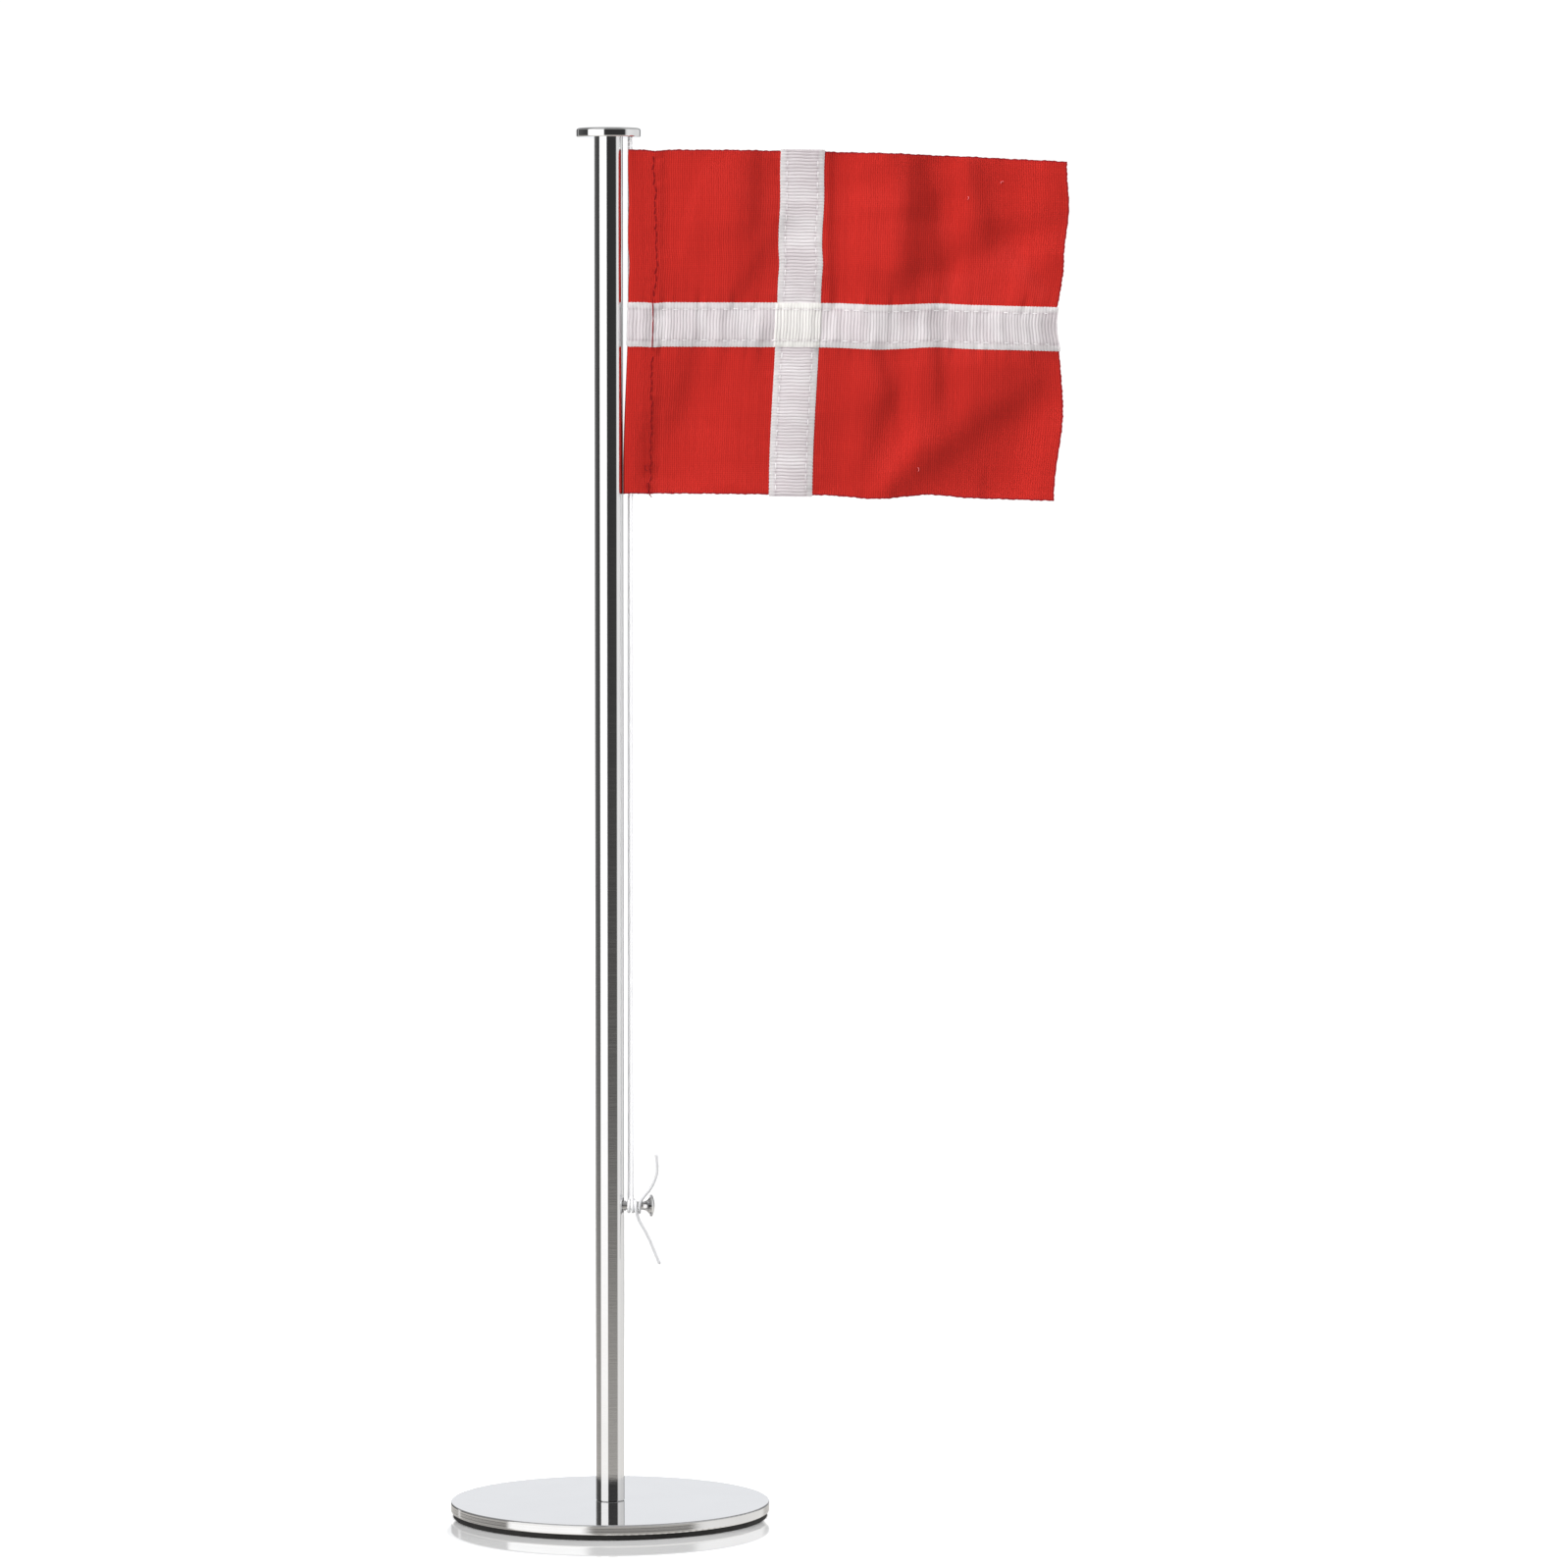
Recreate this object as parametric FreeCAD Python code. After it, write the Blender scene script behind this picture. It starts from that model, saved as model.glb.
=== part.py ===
"""A table flagpole: a weighted round base, a slim tube with a disc cap, a halyard in a loop
wound on a cleat stud, and a hemmed flag with a ribbon cross.

Millimetres, +Z up. The origin is the middle of the pad's underside, where the stand meets the table.
The flag flies towards +X and its front faces -Y. Each function below makes one sub-part.
"""

import math
import os

import FreeCAD
import Part

V = FreeCAD.Vector
X, Y, Z = V(1, 0, 0), V(0, 1, 0), V(0, 0, 1)

# --- driving dimensions ---
TOTAL_H = 389.9
PLATE_D, PLATE_T = 90.0, 2.8
PAD_INSET, PAD_T = 0.75, 1.5
POLE_D, POLE_WALL = 8.0, 1.0
CAP_D, CAP_T = 18.0, 2.55
CORD_D = 0.9
CLEAT_Z = 87.7
FLAG_LENGTH, FLAG_HEIGHT, FLAG_TOP_Z = 124.0, 97.0, 383.9
RIBBON_W, RIBBON_T = 12.7, 0.3
CLOTH_T = 0.3

# --- edges and clearances ---
EDGE_PLATE, EDGE_CAP_TOP, EDGE_CAP_UNDER = 0.4, 0.7, 0.35
EDGE_TUBE_FOOT = 0.25  # the chamfer where the tube stands on the plate
PLUG_GAP = 0.02  # a plug in the tube's bore, and a thread in its hole
CORD_HOLE_GAP = 0.2  # round the cord in the cap
CORD_SUNK = 0.15  # below the cap's top, in its groove
BRIDGE_BEND, BRIDGE_SHARE = 0.95, 0.65  # the cord's bends inside the cap
CORD_END_GAP = 0.12  # between the strand that twists and the cord beyond it
CORD_IN_CAP = 0.4  # how far up the cap's holes run straight

# --- fasteners: M4 for the base and the cap, M2.5 for the stud ---
M4_R, M4_HEAD_R, M4_HEAD_CONE = 2.0, 4.0, 2.0
M4_HEAD_RIM = 0.3
HEX_FLATS, HEX_DEPTH = 2.5, 1.4
M25_R = 1.25
BASE_SCREW_L = 12.0
FOOT_PLUG_L, HEAD_PLUG_L, CAP_SPIGOT_L = 14.0, 14.0, 9.0
ANCHOR_L, STUD_TAIL_X = 8.0, -1.8

# --- cleat stud, along +X from the tube ---
STUD_FOOT_R, STUD_FOOT_X = 1.45, 4.55
STUD_NECK_R = 1.2
STUD_FLARE_X, STUD_RIM_X0, STUD_RIM_X1, STUD_TIP_X = 9.4, 11.3, 11.9, 12.6
STUD_HEAD_R = 3.15
STUD_TIP_FLAT_R = 0.3  # the flat that turning leaves in the middle of the end
STUD_FLARE_MIDDLE = (10.7, 0, 1.82)  # a point on the flare's curve
STUD_CROWN_MIDDLE = (12.43, 0, 1.57)  # a point on the domed end
STUD_SEAT = 0.4  # how far the foot's ring reaches round the tube
TURNS_X0, TURNS_X1 = 4.9, 9.0

# --- where the two strands run ---
FLAG_STRAND = V(6.3, -1.2, 0)
RETURN_AT_CAP = V(5.75, 1.8, 0)
RETURN_AT_CLEAT = V(5.45, 1.3, 0)

# --- hem and ribbons ---
HOIST_FOLD = 1.6  # from the strand back to the hem's fold
HEM_W = 7.5
HEM_CAVITY = 0.6  # half the hem's opening, beside the strand
CAVITY_END = 0.08  # half the hem's opening where it closes,
CAVITY_SHORT = 1.0  # this far before the stitches
SEAM_GAP = 1.0  # from the hem's stitches to where a ribbon's own begin
RIBBON_V_FROM_FOLD, RIBBON_H_FROM_TOP = 42.7, 42.8
RIBBON_STEP = 0.7  # over which a ribbon climbs on to the one beneath
SELVEDGE = 1.9
THREAD_W, THREAD_T = 0.25, 0.15

# --- derived sizes ---
PLATE_TOP = PAD_T + PLATE_T
CAP_UNDER = TOTAL_H - CAP_T
POLE_R = POLE_D / 2
BORE_R = POLE_R - POLE_WALL
PLUG_R = BORE_R - PLUG_GAP
CORD_R = CORD_D / 2
CORD_HOLE_R = CORD_R + CORD_HOLE_GAP
BRIDGE_Z = TOTAL_H - CORD_R - CORD_SUNK
STRAND_TOP = CAP_UNDER + CORD_IN_CAP
TURNS_R = STUD_NECK_R + CORD_D
TAIL_LIFT = TURNS_R - CORD_R
FOLD_X = FLAG_STRAND.x - HOIST_FOLD
STITCH_X = FOLD_X + HEM_W
FLY_X = FOLD_X + FLAG_LENGTH
FLAG_BOTTOM_Z = FLAG_TOP_Z - FLAG_HEIGHT
HEM_HALF = HEM_CAVITY + CLOTH_T
RIBBON_V_X = FOLD_X + RIBBON_V_FROM_FOLD
RIBBON_H_Z = FLAG_TOP_Z - RIBBON_H_FROM_TOP - RIBBON_W

# --- routes of the loose ends, from the turns on the stud ---
UPPER_TAIL = [
    V(8.0, 0.2, CLEAT_Z + TAIL_LIFT),
    V(9.7, -0.3, 90.4),
    V(11.3, -0.8, 92.3),
    V(12.7, -1.0, 95.0),
    V(13.6, -0.9, 98.3),
    V(13.0, -0.7, 102.4),
]
LOWER_TAIL = [
    V(6.7, -0.5, CLEAT_Z - TAIL_LIFT),
    V(8.0, -1.2, 84.0),
    V(9.7, -1.8, 81.3),
    V(11.3, -2.1, 78.3),
    V(12.6, -2.2, 75.0),
    V(14.1, -2.3, 71.5),
]


def cylinder(radius, start, length, axis=Z):
    return Part.makeCylinder(radius, length, start, axis)


def round_edges(disc):
    return [edge for edge in disc.Edges if edge.Curve.TypeId == "Part::GeomCircle"]


def route_wire(points, share=0.45, most=math.inf):
    """Straight runs joined by tangent arcs, each as large as its two runs allow, and the arcs' radii.
    An arc takes share of the shorter run beside it, and most millimetres of it at the most."""
    edges, radii, start = [], [], points[0]
    for before, corner, after in zip(points, points[1:], points[2:]):
        into, out = corner - before, after - corner
        reach = min(share * min(into.Length, out.Length), most)
        half_turn = into.getAngle(out) / 2
        into.normalize()
        out.normalize()
        arc_start, arc_end = corner - into * reach, corner + out * reach
        radius = reach / math.tan(half_turn)
        middle = (out - into).normalize() * (radius / math.cos(half_turn) - radius) + corner
        edges.append(Part.LineSegment(start, arc_start).toShape())
        edges.append(Part.Arc(arc_start, middle, arc_end).toShape())
        radii.append(radius)
        start = arc_end
    edges.append(Part.LineSegment(start, points[-1]).toShape())
    return Part.Wire(edges), radii


def tube(points, radius, **arcs):
    """A round tube along a route, the route's length and its arcs' radii."""
    path, radii = route_wire(points, **arcs)
    ring = Part.makeCircle(radius, points[0], points[1] - points[0])
    return path.makePipeShell([Part.Wire([ring])], True, False), path.Length, radii


def cord_tube(name, points, **arcs):
    """A plain round tube of the cord's diameter along a route."""
    shape, length, radii = tube(points, CORD_R, **arcs)
    share_of_expected = shape.Volume / (math.pi * CORD_R**2 * length)
    print(f"{name}: length {length:.1f}, volume ratio {share_of_expected:.3f},"
          f" radii {[round(r, 1) for r in radii]}")
    return shape


def plan_prism(outline, z_low, height):
    """A prism that stands on a closed outline of (x, y) points."""
    wire = Part.makePolygon([V(x, y, z_low) for x, y in [*outline, outline[0]]])
    return Part.Face(wire).extrude(Z * height)


# ---------------------------------------------------------------- base and pole


def base_pad():
    return cylinder(PLATE_D / 2 - PAD_INSET, V(0, 0, 0), PAD_T)


def base_plate():
    plate = cylinder(PLATE_D / 2, V(0, 0, PAD_T), PLATE_T)
    plate = plate.makeFillet(EDGE_PLATE, round_edges(plate))
    hole = cylinder(M4_R + PLUG_GAP, V(0, 0, PAD_T), PLATE_T)
    return plate.cut(hole.fuse(screw_head(PLUG_GAP)))


def screw_head(gap=0.0):
    """The countersunk head, flush with the plate's underside."""
    rim = cylinder(M4_HEAD_R + gap, V(0, 0, PAD_T), M4_HEAD_RIM + gap)
    cone = Part.makeCone(
        M4_HEAD_R + gap, M4_R + gap, M4_HEAD_CONE, V(0, 0, PAD_T + M4_HEAD_RIM + gap), Z
    )
    return rim.fuse(cone)


def base_screw():
    shank = cylinder(M4_R, V(0, 0, PAD_T + M4_HEAD_RIM), BASE_SCREW_L - M4_HEAD_RIM)
    corner_r = HEX_FLATS / math.sqrt(3)
    turns = [math.radians(60 * i) for i in range(6)]
    socket = plan_prism([(corner_r * math.cos(a), corner_r * math.sin(a)) for a in turns], PAD_T, HEX_DEPTH)
    return screw_head().fuse(shank).cut(socket).removeSplitter()


def foot_plug():
    plug = cylinder(PLUG_R, V(0, 0, PLATE_TOP), FOOT_PLUG_L)
    return plug.cut(cylinder(M4_R + PLUG_GAP, V(0, 0, PLATE_TOP), FOOT_PLUG_L))


def pole_tube():
    height = CAP_UNDER - PLATE_TOP
    tube = cylinder(POLE_R, V(0, 0, PLATE_TOP), height)
    foot_rim = min(tube.Edges, key=lambda e: e.CenterOfMass.z)
    tube = tube.makeChamfer(EDGE_TUBE_FOOT, [foot_rim])
    tube = tube.cut(cylinder(BORE_R, V(0, 0, PLATE_TOP), height))
    return tube.cut(cylinder(M25_R + PLUG_GAP, V(0, 0, CLEAT_Z), POLE_D, X))


def cleat_anchor():
    plug = cylinder(PLUG_R, V(0, 0, CLEAT_Z - ANCHOR_L / 2), ANCHOR_L)
    return plug.cut(cylinder(M25_R + PLUG_GAP, V(-POLE_R, 0, CLEAT_Z), POLE_D, X))


def head_plug():
    plug = cylinder(PLUG_R, V(0, 0, CAP_UNDER - HEAD_PLUG_L), HEAD_PLUG_L)
    return plug.cut(cylinder(M4_R + PLUG_GAP, V(0, 0, CAP_UNDER - HEAD_PLUG_L), HEAD_PLUG_L))


def bridge_route():
    """Where the cord crosses inside the cap, from one hole to the other."""
    return [
        V(FLAG_STRAND.x, FLAG_STRAND.y, STRAND_TOP),
        V(FLAG_STRAND.x, FLAG_STRAND.y, BRIDGE_Z),
        V(RETURN_AT_CAP.x, RETURN_AT_CAP.y, BRIDGE_Z),
        V(RETURN_AT_CAP.x, RETURN_AT_CAP.y, STRAND_TOP),
    ]


def top_cap():
    """The disc, its threaded spigot, and the two cord holes with the groove that joins them."""
    disc = cylinder(CAP_D / 2, V(0, 0, CAP_UNDER), CAP_T)
    low_rim, high_rim = sorted(round_edges(disc), key=lambda e: e.CenterOfMass.z)
    disc = disc.makeFillet(EDGE_CAP_UNDER, [low_rim]).makeFillet(EDGE_CAP_TOP, [high_rim])
    cap = disc.fuse(cylinder(M4_R, V(0, 0, CAP_UNDER - CAP_SPIGOT_L), CAP_SPIGOT_L))
    strand, back = bridge_route()[0], bridge_route()[-1]
    for hole in (strand, back):
        cap = cap.cut(cylinder(CORD_HOLE_R, V(hole.x, hole.y, CAP_UNDER), STRAND_TOP - CAP_UNDER))
    cap = cap.cut(tube(bridge_route(), CORD_HOLE_R, share=BRIDGE_SHARE, most=BRIDGE_BEND)[0])
    side = (back - strand).normalize().cross(Z) * CORD_HOLE_R
    lift = Z * (BRIDGE_Z - STRAND_TOP)
    corners = [strand + side, back + side, back - side, strand - side, strand + side]
    groove = Part.Face(Part.makePolygon([corner + lift for corner in corners])).extrude(Z * CAP_T)
    return cap.cut(groove).removeSplitter()


def cleat_stud():
    """Turned about +X: foot ring seated on the tube, neck, head on a hollow-curved flare, threaded tail."""
    foot_x = POLE_R - STUD_SEAT
    outline = [
        (foot_x, 0), (foot_x, STUD_FOOT_R), (STUD_FOOT_X, STUD_FOOT_R),
        (STUD_FOOT_X, STUD_NECK_R), (STUD_FLARE_X, STUD_NECK_R),
    ]
    points = [V(x, 0, radius) for x, radius in outline]
    edges = [Part.LineSegment(start, end) for start, end in zip(points, points[1:])]
    rim, crown = V(STUD_RIM_X0, 0, STUD_HEAD_R), V(STUD_RIM_X1, 0, STUD_HEAD_R)
    tip, centre = V(STUD_TIP_X, 0, STUD_TIP_FLAT_R), V(STUD_TIP_X, 0, 0)
    edges += [
        Part.Arc(points[-1], V(*STUD_FLARE_MIDDLE), rim),
        Part.LineSegment(rim, crown),
        Part.Arc(crown, V(*STUD_CROWN_MIDDLE), tip),
        Part.LineSegment(tip, centre),
        Part.LineSegment(centre, points[0]),
    ]
    stud = Part.Face(Part.Wire([edge.toShape() for edge in edges])).revolve(V(0, 0, 0), X, 360)
    stud.translate(Z * CLEAT_Z)
    stud = stud.cut(cylinder(POLE_R, V(0, 0, CLEAT_Z - POLE_R), POLE_D))
    tail = cylinder(M25_R, V(STUD_TAIL_X, 0, CLEAT_Z), POLE_R + STUD_SEAT - STUD_TAIL_X, X)
    return stud.fuse(tail).removeSplitter()


# ---------------------------------------------------------------- halyard


def halyard_flag_strand():
    """The strand in the flag's hem: straight, so that it can twist about its own axis."""
    depth = math.sqrt(TURNS_R**2 - (abs(FLAG_STRAND.y) - CORD_R) ** 2)
    low = CLEAT_Z + depth + CORD_END_GAP
    return cylinder(CORD_R, V(FLAG_STRAND.x, FLAG_STRAND.y, low), STRAND_TOP - CORD_END_GAP - low)


def halyard_return():
    """Over through the cap, then down behind the flag to the turns on the stud."""
    end = V(RETURN_AT_CLEAT.x, RETURN_AT_CLEAT.y, CLEAT_Z + TURNS_R / 2)
    route = [*bridge_route()[:3], end]
    return cord_tube("halyard_return", route, share=BRIDGE_SHARE, most=BRIDGE_BEND).cut(halyard_turns())


def halyard_turns():
    """The outer shape of the turns that are wound on the stud's neck."""
    length = TURNS_X1 - TURNS_X0
    turns = cylinder(TURNS_R, V(TURNS_X0, 0, CLEAT_Z), length, X)
    return turns.cut(cylinder(STUD_NECK_R, V(TURNS_X0, 0, CLEAT_Z), length, X))


def halyard_upper_tail():
    return cord_tube("halyard_upper_tail", UPPER_TAIL).cut(halyard_turns())


def halyard_lower_tail():
    return cord_tube("halyard_lower_tail", LOWER_TAIL).cut(halyard_turns())


# ---------------------------------------------------------------- flag


def hem_face(extra=0.0):
    """(x, half thickness) along one face of the flag, from the strand to the fly, extra further out."""
    return [
        (FLAG_STRAND.x + CORD_R, HEM_HALF + extra),
        (STITCH_X, CLOTH_T + extra),
        (STITCH_X + CLOTH_T, CLOTH_T / 2 + extra),
    ]


def fold_arc(radius, steps=8):
    """(x, y) points round the hem's fold, from its front face to its back face."""
    middle_x = FOLD_X + HEM_HALF
    angles = [math.radians(270 - 180 * i / steps) for i in range(steps + 1)]
    return [(middle_x + radius * math.cos(a), FLAG_STRAND.y + radius * math.sin(a)) for a in angles]


def front(points):
    return [(x, FLAG_STRAND.y - half) for x, half in points]


def back(points):
    return [(x, FLAG_STRAND.y + half) for x, half in points]


def flag_cloth():
    """One red sheet, turned back at the hoist into a hem that the strand runs through."""
    face = [*hem_face(), (FLY_X, CLOTH_T / 2)]
    outline = front(face[::-1]) + fold_arc(HEM_HALF) + back(face)
    cavity_face = [(FLAG_STRAND.x + CORD_R, HEM_CAVITY), (STITCH_X - CAVITY_SHORT, CAVITY_END)]
    cavity = front(cavity_face[::-1]) + fold_arc(HEM_CAVITY) + back(cavity_face)
    sheet = plan_prism(outline, FLAG_BOTTOM_Z, FLAG_HEIGHT)
    return sheet.cut(plan_prism(cavity, FLAG_BOTTOM_Z, FLAG_HEIGHT))


def vertical_ribbon(side):
    inner, outer = CLOTH_T / 2, CLOTH_T / 2 + RIBBON_T
    ends = (RIBBON_V_X, RIBBON_V_X + RIBBON_W)
    outline = side([(x, inner) for x in ends]) + side([(x, outer) for x in ends[::-1]])
    return plan_prism(outline, FLAG_BOTTOM_Z, FLAG_HEIGHT)


def ribbon_vertical_front():
    return vertical_ribbon(front)


def ribbon_vertical_back():
    return vertical_ribbon(back)


def over_vertical(extra):
    """The face that a horizontal ribbon lies on, from beyond the hem to the fly, over the vertical ribbon."""
    low, high = CLOTH_T / 2 + extra, CLOTH_T / 2 + RIBBON_T + extra
    far_x = RIBBON_V_X + RIBBON_W
    return [
        (RIBBON_V_X - RIBBON_STEP, low), (RIBBON_V_X, high),
        (far_x, high), (far_x + RIBBON_STEP, low), (FLY_X, low),
    ]


def ribbon_horizontal_front():
    """Along the front and round the fold, because it is turned back with the hem."""
    turned = (STITCH_X, CLOTH_T)
    inner = front([*hem_face(), *over_vertical(0)][::-1]) + fold_arc(HEM_HALF) + back([hem_face()[0], turned])
    outer = front([*hem_face(RIBBON_T), *over_vertical(RIBBON_T)][::-1]) + fold_arc(HEM_HALF + RIBBON_T)
    outer += back([hem_face(RIBBON_T)[0], (STITCH_X, CLOTH_T + RIBBON_T)])
    return plan_prism(inner + outer[::-1], RIBBON_H_Z, RIBBON_W)


def ribbon_horizontal_back():
    start_x = STITCH_X + CLOTH_T
    inner = back([(start_x, CLOTH_T / 2), *over_vertical(0)])
    outer = back([(start_x, CLOTH_T / 2 + RIBBON_T), *over_vertical(RIBBON_T)])
    return plan_prism(inner + outer[::-1], RIBBON_H_Z, RIBBON_W)


def thread_bar(side, x0, x1, half, z0, height):
    """A plain bar of thread on one face of the flag, half away from the flag's middle."""
    ends = (x0, x1)
    return plan_prism(
        side([(x, half) for x in ends]) + side([(x, half + THREAD_T) for x in ends[::-1]]), z0, height
    )


def hem_thread():
    """Beside the hem's inner edge, front and back, above and below the horizontal ribbon and over it."""
    x0, x1 = STITCH_X, STITCH_X + THREAD_W
    ribbon_top = RIBBON_H_Z + RIBBON_W
    bars = []
    for z0, z1, lift in (
        (FLAG_BOTTOM_Z, RIBBON_H_Z, 0),
        (RIBBON_H_Z, ribbon_top, RIBBON_T),
        (ribbon_top, FLAG_TOP_Z, 0),
    ):
        bars.append(thread_bar(front, x0, x1, CLOTH_T + lift, z0, z1 - z0))
    return Part.makeCompound(bars)


def ribbon_thread_vertical():
    half = CLOTH_T / 2 + RIBBON_T
    ribbon_top = RIBBON_H_Z + RIBBON_W
    bars = []
    for side in (front, back):
        for x0 in (RIBBON_V_X + SELVEDGE, RIBBON_V_X + RIBBON_W - SELVEDGE - THREAD_W):
            for z0, z1 in ((FLAG_BOTTOM_Z, RIBBON_H_Z), (ribbon_top, FLAG_TOP_Z)):
                bars.append(thread_bar(side, x0, x0 + THREAD_W, half, z0, z1 - z0))
    return Part.makeCompound(bars)


def ribbon_thread_horizontal():
    half = CLOTH_T / 2 + RIBBON_T
    spans = ((STITCH_X + SEAM_GAP, RIBBON_V_X - RIBBON_STEP), (RIBBON_V_X + RIBBON_W + RIBBON_STEP, FLY_X))
    bars = []
    for side in (front, back):
        for z0 in (RIBBON_H_Z + SELVEDGE, RIBBON_H_Z + RIBBON_W - SELVEDGE - THREAD_W):
            for x0, x1 in spans:
                bars.append(thread_bar(side, x0, x1, half, z0, THREAD_W))
    return Part.makeCompound(bars)


NODES = (
    base_pad, base_plate, base_screw, foot_plug, pole_tube, head_plug, top_cap,
    cleat_anchor, cleat_stud,
    halyard_flag_strand, halyard_return, halyard_turns, halyard_upper_tail, halyard_lower_tail,
    flag_cloth, ribbon_vertical_front, ribbon_vertical_back,
    ribbon_horizontal_front, ribbon_horizontal_back,
    hem_thread, ribbon_thread_vertical, ribbon_thread_horizontal,
)

os.makedirs("parts", exist_ok=True)
for make in NODES:
    shape = make()
    if not shape.isValid() or shape.Volume <= 0:
        print(f"{make.__name__} isn't a valid solid")
    shape.exportStep(f"parts/{make.__name__}.step")
    print(f"{make.__name__}: {len(shape.Solids)} solid(s), {shape.Volume:.1f} mm3")
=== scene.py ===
"""The looks of the table flagpole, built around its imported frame.

The frame is in metres, +Z up, with the front towards -Y. Sizes of the soft pieces below are in
millimetres, as in the part's source, and are scaled once, when a mesh is made.
"""

import math

import bpy
import numpy as np
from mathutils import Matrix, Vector, noise


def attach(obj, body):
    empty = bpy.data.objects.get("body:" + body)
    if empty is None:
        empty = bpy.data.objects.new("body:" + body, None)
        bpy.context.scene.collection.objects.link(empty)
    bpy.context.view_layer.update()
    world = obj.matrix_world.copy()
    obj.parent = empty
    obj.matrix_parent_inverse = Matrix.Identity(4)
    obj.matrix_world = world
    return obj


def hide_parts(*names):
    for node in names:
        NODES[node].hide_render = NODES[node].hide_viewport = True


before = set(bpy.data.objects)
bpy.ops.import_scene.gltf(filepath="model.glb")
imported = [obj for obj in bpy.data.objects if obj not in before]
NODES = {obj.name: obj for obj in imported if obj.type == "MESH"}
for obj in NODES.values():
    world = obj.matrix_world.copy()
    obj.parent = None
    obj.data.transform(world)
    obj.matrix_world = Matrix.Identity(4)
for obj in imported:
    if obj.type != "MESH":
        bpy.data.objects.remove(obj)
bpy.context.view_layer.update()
MM = 0.001

# --- halyard, in millimetres ---
CORD_D = 0.9
CORD_R = CORD_D / 2
STRAND_X, STRAND_Y = 6.3, -1.2
STRAND_LOW, STRAND_HIGH = 89.7, 387.6
CLEAT_Z = 87.7
NECK_R = 1.2
TURN_R = NECK_R + CORD_R  # to the middle of a cord that is wound on the stud
OVER_R = TURN_R + CORD_D  # to the middle of a cord that crosses a turn
POINTS_PER_TURN = 16
WOUND_R = TURN_R / math.cos(math.pi / POINTS_PER_TURN)  # to a turn's points, which its curve cuts inside
BRAID_LAY, BRAID_STRANDS, BRAID_RELIEF = 4.4, 4, 0.055
BRAID_STEP, BRAID_AROUND = 0.14, 24  # a cord's mesh: the distance between rings, and the points in each
SHADED_END = 17.0  # of a loose end, the stretch painted darker as shade, since the lamps light the ends more than the strand
CUT_ROUND = 0.4  # over which a cut end closes

# --- flag, in millimetres: flat sizes of the cloth and where it hangs ---
FLAG_LENGTH, FLAG_HEIGHT = 124.0, 97.0
FLAG_TOP_Z, HOIST_LOW_Z = 383.9, 288.0
FLY_DROP_TOP, FLY_DROP_LOW = 3.4, 2.1
CLOTH_T, RIBBON_T, RIBBON_W = 0.26, 0.24, 12.5
FLAG_Y = -1.66  # the hem lies flat in front of the strand and opens behind it
FOLD_R = 0.75  # the turned edge, to the middle of the cloth
LAYER_GAP = 0.01  # between two layers that lie on each other
HEM_STITCH, HEM_TURNED = 7.4, 8.6  # from the fold
RIBBON_V_START, RIBBON_H_START = 42.6, 41.5
RIBBON_LEAN = 1.3  # the vertical ribbon's top is this much further out than its foot
RIBBON_END = 0.45  # that a ribbon stands past the cloth
SELVEDGE, RIB_PITCH = 1.9, 0.92
SELVEDGE_STEP = 0.7  # over which a ribbon's ribs rise from its selvedge
RIB_RELIEF = 0.14  # that a ribbon's ribs stand above its thickness
CLIMB = 0.9  # over which a ribbon climbs on to the one beneath
WARP_PITCH, WEFT_PITCH = 0.63, 0.53
YARN_PITCH, PLY_PITCH = 0.3, 0.22  # of the ribbon's yarns and of a thread's twist

# --- thread, in millimetres: radius, and how far a stitch's middle is above what it is sewn on ---
HEM_THREAD_R, HEM_THREAD_BACK_R, HEM_THREAD_RIBBON_R = 0.18, 0.14, 0.17
HEM_THREAD_UP, RIBBON_THREAD_UP = 0.06, 0.02
RIBBON_THREAD_R = 0.15
HEM_PITCH, RIBBON_OUT_PITCH, RIBBON_UP_PITCH = 2.1, 2.9, 3.1  # from one stitch to the next
HEM_SHARE, RIBBON_SHARE = 0.92, 0.72  # of the pitch, that a stitch covers
THREAD_AROUND, THREAD_STEP = 6, 0.18  # a thread's mesh: the points in a ring, and between a loose end's rings


# ------------------------ camera


def make_camera():
    data = bpy.data.cameras.new("camera")
    data.lens = 160.18
    data.sensor_width = 36.0
    data.clip_end = 30.0
    camera = bpy.data.objects.new("camera", data)
    camera.location = (0.0462, -1.9542, 0.3146)
    camera.rotation_euler = (math.radians(86.836), 0, 0)
    bpy.context.scene.collection.objects.link(camera)
    bpy.context.scene.camera = camera


# ------------------------ shader nodes


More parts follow.
